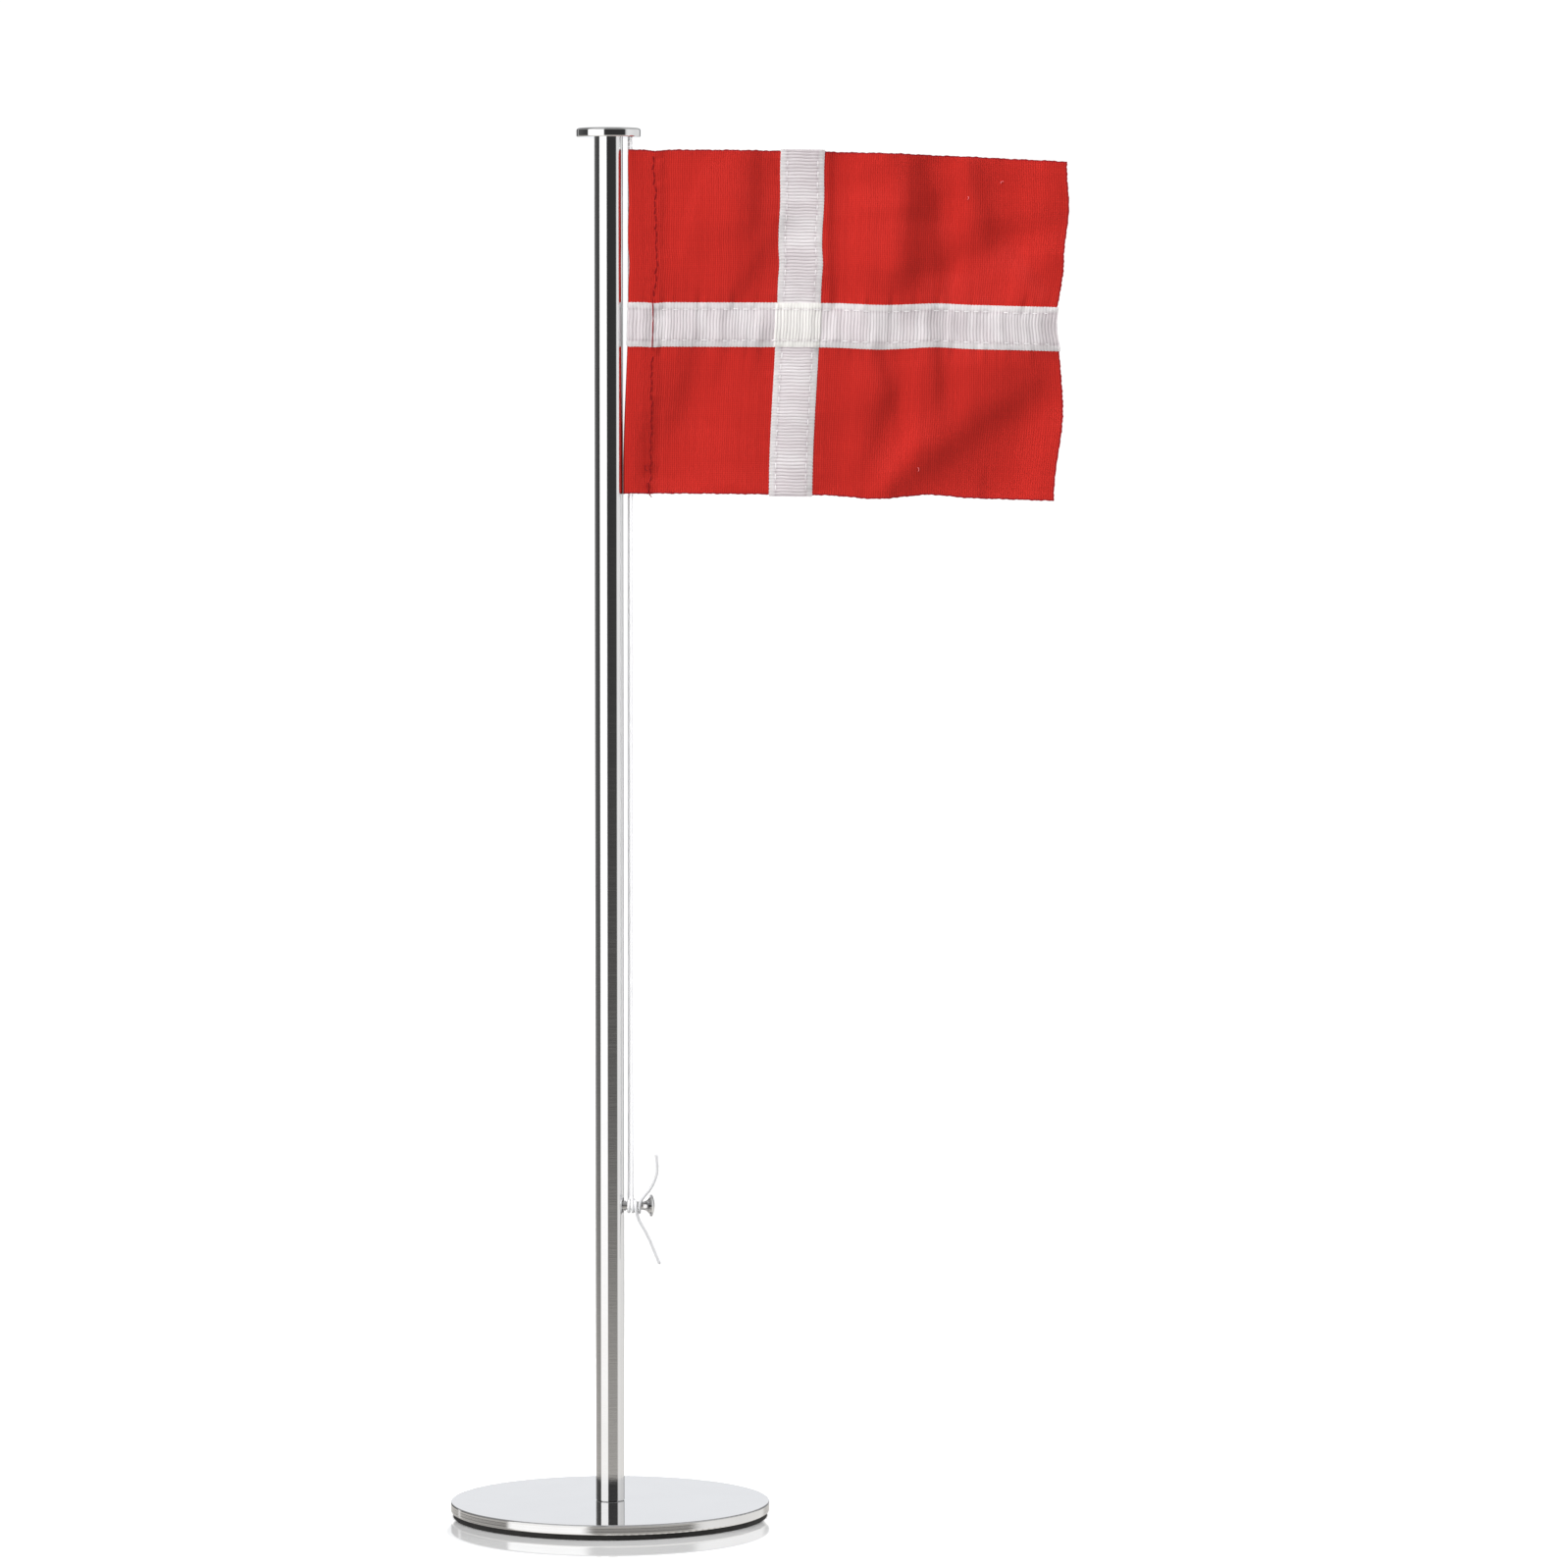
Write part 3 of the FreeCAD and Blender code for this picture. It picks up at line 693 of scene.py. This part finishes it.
def pocket(d, t):
    """Half the distance between the hem's two layers, middle to middle. They part round the strand and a
    little on both sides of the seam."""
    strand = STRAND_X - fold_x(t)
    beside_seam = bell(d, HEM_STITCH, 2.6) * (1 - bell(d, HEM_STITCH + 0.2 * np.sin(t * 3.0), 0.75))
    parted = 0.12 * beside_seam * (1 - smooth(d, HEM_STITCH + 1.0, HEM_TURNED + 0.6))
    closed = 0.5 * CLOTH_T + LAYER_GAP + parted
    return closed + (FOLD_R - closed) * (1 - smooth(d, strand + 0.6, HEM_STITCH - 0.4))


def cloth(u, t):
    """The cloth's middle surface. u runs along it from the hem's fold: minus is the turned back edge. The
    front layer stays flat, and all of the pocket's bulge goes to the back."""
    quarter = 0.5 * math.pi * FOLD_R
    turn = np.clip(np.abs(u), 0, quarter) / FOLD_R
    d = FOLD_R * (1 - np.cos(turn)) + np.clip(np.abs(u) - quarter, 0, None)
    x, y, z = hanging(d, t)
    half = pocket(d, t)
    bulge = half - 0.5 * CLOTH_T - LAYER_GAP
    apart = np.where(np.abs(u) < quarter, FOLD_R * np.sin(turn), half)
    front = (apart - bulge) * (1 - smooth(d, HEM_TURNED, HEM_TURNED + 2.0))
    back = apart + bulge + 0.12 * smooth(d, HEM_STITCH, HEM_TURNED)
    return np.stack([x, y + np.where(u > 0, -front, back), z], -1)


def u_of(d):
    """The place along the cloth that lies d from the fold, on the front."""
    return d + (0.5 * math.pi - 1) * FOLD_R


def flag_cloth(material):
    """The red cloth, turned back in its hem, with ragged cut edges."""
    step = 0.36
    u = np.arange(-u_of(HEM_TURNED), u_of(FLAG_LENGTH) + step / 2, step)
    near_edge = np.array([0, 0.25, 0.55])
    t = np.concatenate([near_edge, np.linspace(0.9, FLAG_HEIGHT - 0.9, 137), FLAG_HEIGHT - near_edge[::-1]])
    uu, tt = np.meshgrid(u, t)
    ragged = 0.05 * np.sin(uu * 3.9 + np.sin(uu)) + 0.05 * np.sin(uu * 2.3) + 0.05 * np.sin(uu * 0.9 + 1)
    moved = tt + ragged * (smooth(tt, FLAG_HEIGHT - 0.6, FLAG_HEIGHT) - smooth(-tt, -0.6, 0))
    fly = smooth(uu, u[-1] - 0.6, u[-1])
    pushed = uu + fly * (0.08 * np.sin(tt * 4.4) + 0.06 * np.sin(tt * 1.7))
    middle = cloth(pushed, moved)
    normal = grid_normals(middle)
    points, faces = closed_sheet(middle + normal * CLOTH_T / 2, middle - normal * CLOTH_T / 2)
    to_edge = np.minimum(np.minimum(tt, FLAG_HEIGHT - tt), u[-1] - uu)
    cut = 1 - smooth(to_edge, 0.1, 0.55)
    uv = np.tile(np.stack([uu, tt], -1).reshape(-1, 2), (2, 1))
    return mesh_object("flag_cloth_hung", points, faces, material, uv, cut_edge=np.tile(cut.ravel(), 2))


def ribs(along, across, seed, puffed):
    """The ribbon's relief, how deep in a groove a place is (where its material paints shade), and how
    much it is selvedge. The ribs run across the ribbon, and it is puffed between its stitches."""
    far = RIBBON_W - SELVEDGE
    body = smooth(across, SELVEDGE - SELVEDGE_STEP, SELVEDGE) * (1 - smooth(across, far, far + SELVEDGE_STEP))
    wander = 0.25 * np.sin(along * 0.31 + seed) + 0.06 * np.sin(across * 0.9 + along * 0.2 + seed)
    wave = np.abs(np.sin(math.pi * (along + wander) / RIB_PITCH))
    ridge, fine = wave**0.55, wave**1.5
    puff = 0.10 * np.sin(along * 0.55 + seed * 2) + 0.08 * np.sin(along * 0.93 + seed)
    puff = puff + 0.05 * np.sin(along * 1.7)
    dimple = bell(across, SELVEDGE, 0.35) + bell(across, far, 0.35)
    raised = 0.13 * ridge + puffed * np.maximum(puff, -0.08)
    relief = body * raised + (1 - body) * 0.05 * fine - 0.08 * dimple
    groove = body * (1 - ridge) + 0.2 * (1 - body) * (1 - fine) + 0.3 * dimple
    return relief, groove, 1 - body


def ribbon(name, material, along_u, side, start, end, fixed, lift=None, seed=0.0):
    """A ribbon on the cloth. along_u says whether it runs out along the flag or up it, side is 1 on the
    outside of the cloth and -1 on its back, and fixed is where its lower or inner edge is. lift gives how
    far the ribbon beneath raises it."""
    along = np.linspace(start, end, int((end - start) / (RIB_PITCH / 7)))
    outer_edge = (0, 0.12, 0.5, 1.2, SELVEDGE - 0.35, SELVEDGE, SELVEDGE + 0.35, SELVEDGE + 0.8)
    half = np.concatenate([outer_edge, np.linspace(SELVEDGE + 1.5, RIBBON_W / 2, 4)])
    across = np.concatenate([half, RIBBON_W - half[-2::-1]])
    aa, cc = np.meshgrid(along, across)
    scallop = 0.05 * np.sin(2 * math.pi * aa / RIB_PITCH)
    spread = cc + scallop * (smooth(cc, RIBBON_W - 0.6, RIBBON_W) - (1 - smooth(cc, 0, 0.6)))
    grid = cloth(aa, fixed + spread) if along_u else cloth(fixed + spread, aa)
    normal = grid_normals(grid) * (side if along_u else -side)
    lifted = lift(aa) if lift else np.zeros_like(aa)
    relief, groove, selvedge = ribs(aa, cc, seed, 1.4 if along_u else 0.4)
    thick = RIBBON_T * (0.35 + 0.65 * smooth(np.minimum(cc, RIBBON_W - cc), 0, 0.5))
    inner = grid + normal * (CLOTH_T / 2 + LAYER_GAP + lifted)[..., None]
    outer = inner + normal * (thick + np.maximum(relief, -0.1))[..., None]
    order = slice(None) if (side > 0) == along_u else slice(None, None, -1)  # so that the faces look out
    points, faces = closed_sheet(outer[order], inner[order])
    uv = np.stack([aa, cc], -1)[order].reshape(-1, 2)
    on_ribbon = smooth(lifted, 0.1, 0.25)
    return mesh_object(
        name, points, faces, material, np.tile(uv, (2, 1)),
        groove=np.tile(groove[order].ravel(), 2), over_ribbon=np.tile(on_ribbon[order].ravel(), 2),
        selvedge=np.tile(selvedge[order].ravel(), 2),
    )


def over_vertical(along):
    """How far a horizontal ribbon is lifted by the vertical one beneath it."""
    start = u_of(RIBBON_V_START)
    end = start + RIBBON_W
    climbed = smooth(along, start - CLIMB, start + 0.1)
    return (RIBBON_T + RIB_RELIEF) * climbed * (1 - smooth(along, end - 0.1, end + CLIMB))


# ------------------------ stitches


def cloth_place(u, t, height, side=1):
    """A point at a height above the cloth's middle, on its outside or (side -1) its back, and the way out."""
    small = 0.05
    place, beside, above = cloth(np.array([u, u + small, u]), np.array([t, t, t + small]))
    normal = np.cross((beside - place) / small, (above - place) / small)
    normal = normal / np.linalg.norm(normal) * side
    return place + normal * height, normal


def stitch(ends, height, side, radius, sink=0.12, bow=0.05):
    """One stitch from place to place on the cloth: a thin bar of thread that dips in at both ends."""
    (u0, t0), (u1, t1) = ends
    rings = 7
    centres, normals = [], []
    for i in range(rings):
        share = i / (rings - 1)
        dip = sink * (abs(2 * share - 1) ** 4) - bow * math.sin(math.pi * share)
        place, normal = cloth_place(u0 + (u1 - u0) * share, t0 + (t1 - t0) * share, height - dip, side)
        centres.append(place)
        normals.append(normal)
    centres = np.array(centres)
    tangents = np.gradient(centres, axis=0)
    tangents /= np.linalg.norm(tangents, axis=1, keepdims=True)
    angles = np.linspace(0, 2 * math.pi, THREAD_AROUND, endpoint=False)
    points, uv = [], []
    for i, (centre, tangent, normal) in enumerate(zip(centres, tangents, normals)):
        across = np.cross(tangent, normal)
        across /= np.linalg.norm(across)
        size = radius * (0.55 + 0.45 * math.sin(math.pi * i / (rings - 1)) ** 0.5)
        for a in angles:
            points.append(centre + across * math.cos(a) * size + normal * math.sin(a) * size * 0.75)
            uv.append((np.linalg.norm(centre - centres[0]), a * radius))
    return points, tube_faces(rings, THREAD_AROUND), uv


def stitched(name, material, stitches):
    """All of a seam's stitches as one piece."""
    points, faces, uv = [], [], []
    for bar_points, bar_faces, bar_uv in stitches:
        faces += [tuple(k + len(points) for k in face) for face in bar_faces]
        points += bar_points
        uv += bar_uv
    return mesh_object(name, points, faces, material, uv)


def run(start, end, pitch, share):
    """(from, to) of the stitches between two places."""
    count = int((end - start) / pitch)
    gap = (end - start - count * pitch) / 2
    return [(start + gap + i * pitch, start + gap + (i + share) * pitch) for i in range(count)]


def jitter(index, row):
    """A small repeatable unevenness between -1 and 1."""
    return noise.noise(Vector((index * 0.731, row * 3.17, 0.5)))


def hem_stitches():
    """A short slanting stitch after another up the hem, front and back, and three long ones on the ribbon."""
    bars = []
    seam = u_of(HEM_STITCH)
    low, high = RIBBON_H_START, RIBBON_H_START + RIBBON_W
    on_cloth = CLOTH_T / 2 + HEM_THREAD_UP
    for index, (t0, t1) in enumerate(run(1.0, FLAG_HEIGHT - 1.0, HEM_PITCH, HEM_SHARE)):
        if low - 1.0 < t1 and t0 < high + 1.0:
            continue
        lean = 0.22 if index % 2 else -0.16
        middle = seam + 0.25 * math.sin(t0 / 9.0) + 0.5 * jitter(index, 1)
        bars.append(stitch(((middle - lean, t0), (middle + lean, t1)), on_cloth, 1, HEM_THREAD_R))
        bars.append(stitch(((-middle - lean, t0), (-middle + lean, t1)), on_cloth, 1, HEM_THREAD_BACK_R))
    on_ribbon = CLOTH_T / 2 + RIBBON_T + RIB_RELIEF
    for t0, t1 in ((low - 1.1, low + 3.5), (low + 3.3, low + 8.2), (low + 8.0, high + 1.1)):
        lean = 0.35 * (t0 + t1 - low - high) / RIBBON_W
        ends = ((seam - 0.35 - lean * 0.4, t0), (seam - 0.45 - lean * 0.5, t1))
        bars.append(stitch(ends, on_ribbon, 1, HEM_THREAD_RIBBON_R, sink=0.06))
    return bars


def loose_end(points, radius):
    """A thread's loose end along a short line of points."""
    line, at = evenly(points, THREAD_STEP)
    sides, ups = frames_along(line)
    angles = np.linspace(0, 2 * math.pi, THREAD_AROUND, endpoint=False)
    shell, uv = [], []
    for centre, side, up, reach in zip(line, sides, ups, at):
        for a in angles:
            shell.append(centre + (side * math.cos(a) + up * math.sin(a)) * radius)
            uv.append((reach, a * radius))
    return shell, tube_faces(len(line), THREAD_AROUND), uv


def hem_tails():
    """The seam's two thread ends below the hem, and a small knot of thread just above them."""
    middle = u_of(HEM_STITCH)
    (x, y, z), _ = cloth_place(middle, 0.6, 0.3)
    first = [
        (x, y, z + 1.0),
        (x - 0.1, y - 0.12, z + 0.2),
        (x + 0.15, y - 0.2, z - 0.9),
        (x + 0.65, y - 0.1, z - 1.7),
    ]
    second = [
        (x - 0.5, y, z + 2.4),
        (x - 0.9, y - 0.25, z + 1.5),
        (x - 0.4, y - 0.35, z + 0.6),
        (x - 0.1, y - 0.2, z - 0.4),
        (x + 0.1, y - 0.1, z - 1.2),
    ]
    knot_x, knot_z = x - 0.7, z + 6.6
    loop = [
        (knot_x + 0.55 * math.cos(a), y - 0.12 - 0.1 * math.sin(2 * a), knot_z + 0.8 * math.sin(a))
        for a in (math.radians(30 * i) for i in range(11))
    ]
    return [loose_end(first, 0.11), loose_end(second, 0.1), loose_end(loop, 0.1)]


def ribbon_stitches(along_u):
    """Two rows along a ribbon, on the flag's front and back."""
    bars = []
    height = CLOTH_T / 2 + RIBBON_T + RIBBON_THREAD_UP
    if along_u:
        fixed, pitch = RIBBON_H_START, RIBBON_OUT_PITCH
        spans = ((u_of(HEM_STITCH) + 1.2, u_of(FLAG_LENGTH) - 0.6),)
    else:
        fixed, pitch = u_of(RIBBON_V_START), RIBBON_UP_PITCH
        spans = ((0.6, RIBBON_H_START - 0.3), (RIBBON_H_START + RIBBON_W + 0.3, FLAG_HEIGHT - 0.6))
    for side in (1, -1):
        for row, offset in enumerate((SELVEDGE, RIBBON_W - SELVEDGE)):
            for span in spans:
                for index, (a0, a1) in enumerate(run(*span, pitch, RIBBON_SHARE)):
                    wobble = 0.22 * jitter(index, row + 2)
                    lean = 0.1 * jitter(index, row + 7)
                    ends = [(a0, fixed + offset + wobble), (a1, fixed + offset + wobble + lean)]
                    if along_u:
                        lifted = height + float(over_vertical(np.array((a0 + a1) / 2)))
                    else:
                        lifted = height
                        ends = [(u, t) for t, u in ends]
                    bars.append(stitch(ends, lifted, side, RIBBON_THREAD_R, sink=0.2))
    return bars


def pulled_threads(material):
    """Three short yarns that have come out of the weave."""
    bars = []
    for d, t, reach, turn in ((85.0, 6.6, 1.5, 0.9), (106.5, 90.0, 1.0, 2.4), (96.0, 84.5, 0.8, 0.2)):
        (x, y, z), _ = cloth_place(u_of(d), t, 0.05)
        line = [
            (x, y + 0.1, z),
            (x + 0.3 * reach * math.cos(turn), y - 0.35, z + 0.4 * reach * math.sin(turn)),
            (x + 0.8 * reach * math.cos(turn + 0.5), y - 0.45, z + 0.8 * reach * math.sin(turn + 0.5)),
            (x + reach * math.cos(turn + 1.1), y - 0.3, z + reach * math.sin(turn + 1.1)),
        ]
        bars.append(loose_end(line, 0.08))
    return stitched("pulled_threads", material, bars)


# ------------------------ the whole flag


def make_flag():
    red, white = red_weave(), grosgrain()
    cloth_piece = flag_cloth(red)
    low, high = -RIBBON_END, FLAG_HEIGHT + RIBBON_END
    # The horizontal ribbon goes round the hem's fold to its seam. The one on the back starts past the hem.
    behind_seam, past_hem, fly = -u_of(HEM_STITCH), u_of(HEM_TURNED) + 0.4, u_of(FLAG_LENGTH) + 0.5
    inner, foot = u_of(RIBBON_V_START), RIBBON_H_START
    ribbons = {
        "ribbon_vertical_front": ribbon("ribbon_up_front", white, False, 1, low, high, inner, None, 0.4),
        "ribbon_vertical_back": ribbon("ribbon_up_back", white, False, -1, low, high, inner, None, 1.9),
        "ribbon_horizontal_front": ribbon(
            "ribbon_out_front", white, True, 1, behind_seam, fly, foot, over_vertical, 2.7
        ),
        "ribbon_horizontal_back": ribbon(
            "ribbon_out_back", white, True, -1, past_hem, fly, foot, over_vertical, 4.2
        ),
    }
    red_thread = twisted_thread("red_thread", (0.27, 0.007, 0.010), (0.11, 0.003, 0.004))
    white_thread = twisted_thread("white_thread", (0.76, 0.74, 0.745), (0.55, 0.52, 0.53))
    hem = stitched("hem_stitches", red_thread, hem_stitches() + hem_tails())
    rows_up = stitched("stitches_up", white_thread, ribbon_stitches(False))
    rows_out = stitched("stitches_out", white_thread, ribbon_stitches(True))
    seams = {
        "hem_thread": (hem, "red_thread"),
        "ribbon_thread_vertical": (rows_up, "white_thread"),
        "ribbon_thread_horizontal": (rows_out, "white_thread"),
    }
    pulls = pulled_threads(twisted_thread("pulled_yarn", (0.80, 0.28, 0.30), (0.60, 0.08, 0.10)))

    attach(cloth_piece, "flag")
    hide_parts("flag_cloth")
    for node, piece in ribbons.items():
        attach(piece, "flag")
        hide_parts(node)
    for node, (piece, slot) in seams.items():
        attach(piece, "flag")
        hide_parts(node)
    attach(pulls, "flag")


# ------------------------ stage and light

# The studio as the steel sees it: (degrees from the front towards +X, brightness) where each panel ends.
PANELS = (
    (-180, 1.02), (-168, 1.02), (-166, 0.13), (-141, 0.13), (-140.5, 0.95), (-138, 0.95), (-137, 0.13),
    (-79, 0.06), (-76, 1.60), (-16.5, 1.60), (-13.5, 0.05), (10, 0.045), (62, 0.05), (68, 0.95), (76, 1.15),
    (110, 1.02), (146, 1.0), (150, 0.3), (168, 0.3), (172, 1.02), (180, 1.02),
)
# How much of the pale table shows below the horizon: (degrees up, share).
TABLE_SHARE = (
    (-90, 0.95), (-45, 0.6), (-25, 0.32), (-14, 0.38), (-11, 0.56), (-9.3, 0.6), (-8.8, 0.48), (-8.2, 0.40),
    (-7.3, 0.26), (-5.7, 0.09), (-4.0, 0.03), (-1.0, 0.0),
)
# How much of the dim ceiling shows above the panels.
CEILING_SHARE = ((7, 0.0), (10, 0.05), (16, 0.6), (50, 0.7), (72, 1.0), (90, 1.0))
TABLE_LIGHT, CEILING_LIGHT = (1.06, 1.02, 0.96), 0.5
BACKDROP_TINT, BACKDROP_FROM = (0.955, 0.97, 1.0), 150  # behind the stand, past this many degrees
FILL_LIGHT = 0.40  # the even light that reaches dull surfaces from all round
PAPER_LIGHT = 1.05  # what shows behind the stand

# --- the table, in metres. It mirrors only close to the stand, and the lamps light it only so far ---
GLOSS_MIDDLE, GLOSS_NEAR, GLOSS_FAR = (0.0, -0.0262, 0.0), 0.0444, 0.0466
NEAR_TABLE, FAR_TABLE = (0.1, 0.5), (0.4, 2.4)
TABLE_NEAR, TABLE_FAR, TABLE_HALF = -3.0, 9.0, 6.0


def shares(tree, degrees, stops, low, high):
    """A ramp over degrees, with stops placed in the range from low to high."""
    at = tree.math("DIVIDE", tree.math("SUBTRACT", degrees, low), high - low)
    return tree.ramp(at, [((angle - low) / (high - low), gray(value)) for angle, value in stops])


def make_world():
    world = bpy.data.worlds.new("studio")
    tree = Tree(world)
    direction = tree.add("ShaderNodeTexCoord").outputs["Generated"]
    x, y, z = tree.add("ShaderNodeSeparateXYZ", {"Vector": direction}).outputs
    around = tree.math("ARCTAN2", x, tree.math("MULTIPLY", y, -1.0))
    degrees = tree.math("MULTIPLY", around, 180 / math.pi)
    up = tree.math("MULTIPLY", tree.math("ARCSINE", z), 180 / math.pi)
    panels = shares(tree, degrees, PANELS, -180, 180)
    behind = tree.smooth_step(tree.math("ABSOLUTE", degrees), BACKDROP_FROM, BACKDROP_FROM + 10)
    tinted = tree.mix(behind, panels, rgb(*BACKDROP_TINT), "MULTIPLY")
    with_table = tree.mix(shares(tree, up, TABLE_SHARE, -90, 90), tinted, rgb(*TABLE_LIGHT))
    mirrored = tree.mix(shares(tree, up, CEILING_SHARE, -90, 90), with_table, gray(CEILING_LIGHT))
    path = tree.add("ShaderNodeLightPath").outputs
    light = tree.mix(path["Is Diffuse Ray"], mirrored, gray(FILL_LIGHT))
    studio = tree.add("ShaderNodeBackground", {"Color": light, "Strength": 1.0}).outputs[0]
    paper = tree.add("ShaderNodeBackground", {"Color": gray(1.0), "Strength": PAPER_LIGHT}).outputs[0]
    either = tree.add("ShaderNodeMixShader", {0: path["Is Camera Ray"], 1: studio, 2: paper}).outputs[0]
    tree.add("ShaderNodeOutputWorld", {"Surface": either})
    bpy.context.scene.world = world


def make_floor():
    """A pale table that glows where the lamps don't reach it, so that it stays even out to its far edge."""
    material, tree, shader = surface("glossy_white_table", Roughness=0.03, Emission_Color=gray(1.0))
    place = tree.place()
    from_stand = tree.add("ShaderNodeVectorMath", operation="DISTANCE", inputs={0: place, 1: GLOSS_MIDDLE})
    distance = from_stand.outputs["Value"]
    gloss = tree.smooth_step(distance, GLOSS_NEAR, GLOSS_FAR, 1.0, 0.0)
    haze = tree.math("MULTIPLY", tree.noise(place, 3.0, 2.0), 0.02)
    dull = tree.math("ADD", tree.smooth_step(distance, *NEAR_TABLE, 0.90, 0.59), haze)
    tree.put(shader.inputs["Base Color"], tree.mix(gloss, dull, gray(0.53)))
    tree.put(shader.inputs["Specular IOR Level"], tree.math("MULTIPLY", gloss, 0.50))
    near_glow = tree.smooth_step(distance, *NEAR_TABLE, 0.30, 0.08)
    glow = tree.math("ADD", near_glow, tree.smooth_step(distance, *FAR_TABLE, 0.0, 0.67))
    dull_glow = tree.math("MULTIPLY", tree.math("SUBTRACT", 1.0, gloss), glow)
    tree.put(shader.inputs["Emission Strength"], tree.math("ADD", dull_glow, 0.03))
    mesh = bpy.data.meshes.new("table")
    near = [(-TABLE_HALF, TABLE_NEAR, 0), (TABLE_HALF, TABLE_NEAR, 0)]
    far = [(TABLE_HALF, TABLE_FAR, 0), (-TABLE_HALF, TABLE_FAR, 0)]
    mesh.from_pydata(near + far, [], [(0, 1, 2, 3)])
    mesh.materials.append(material)
    table = bpy.data.objects.new("table", mesh)
    table.visible_glossy = False
    table.visible_diffuse = False
    bpy.context.scene.collection.objects.link(table)


def soft_light(name, place, target, size, watts):
    """A lamp as a rectangle that looks at its target, and doesn't show itself."""
    data = bpy.data.lights.new(name, "AREA")
    data.shape = "RECTANGLE"
    data.size, data.size_y = size
    data.energy = watts
    lamp = bpy.data.objects.new(name, data)
    lamp.location = place
    lamp.rotation_euler = (Vector(target) - Vector(place)).to_track_quat("-Z", "Y").to_euler()
    lamp.visible_glossy = False
    lamp.visible_camera = False
    bpy.context.scene.collection.objects.link(lamp)


def make_lights():
    flag_middle = (0.06, 0.0, 0.33)
    soft_light("key", (-1.53, -1.02, 0.55), flag_middle, (0.3, 0.7), 28.0)
    soft_light("front", (0.05, -2.1, 0.34), (0.05, 0.0, 0.25), (0.3, 0.4), 14.5)
    soft_light("side", (2.0, 0.3, 0.4), (0.0, 0.0, 0.2), (0.5, 1.0), 40.0)
    soft_light("back", (0.6, 2.0, 0.9), flag_middle, (1.2, 1.2), 16.0)
    soft_light("over_table", (0.0, -0.3, 2.2), (0.0, 0.0, 0.0), (1.4, 1.4), 46.0)


# ------------------------ all of it

make_camera()
make_halyard()
make_flag()
dress_metal()
make_world()
make_floor()
make_lights()
bpy.context.scene.view_settings.view_transform = "Standard"
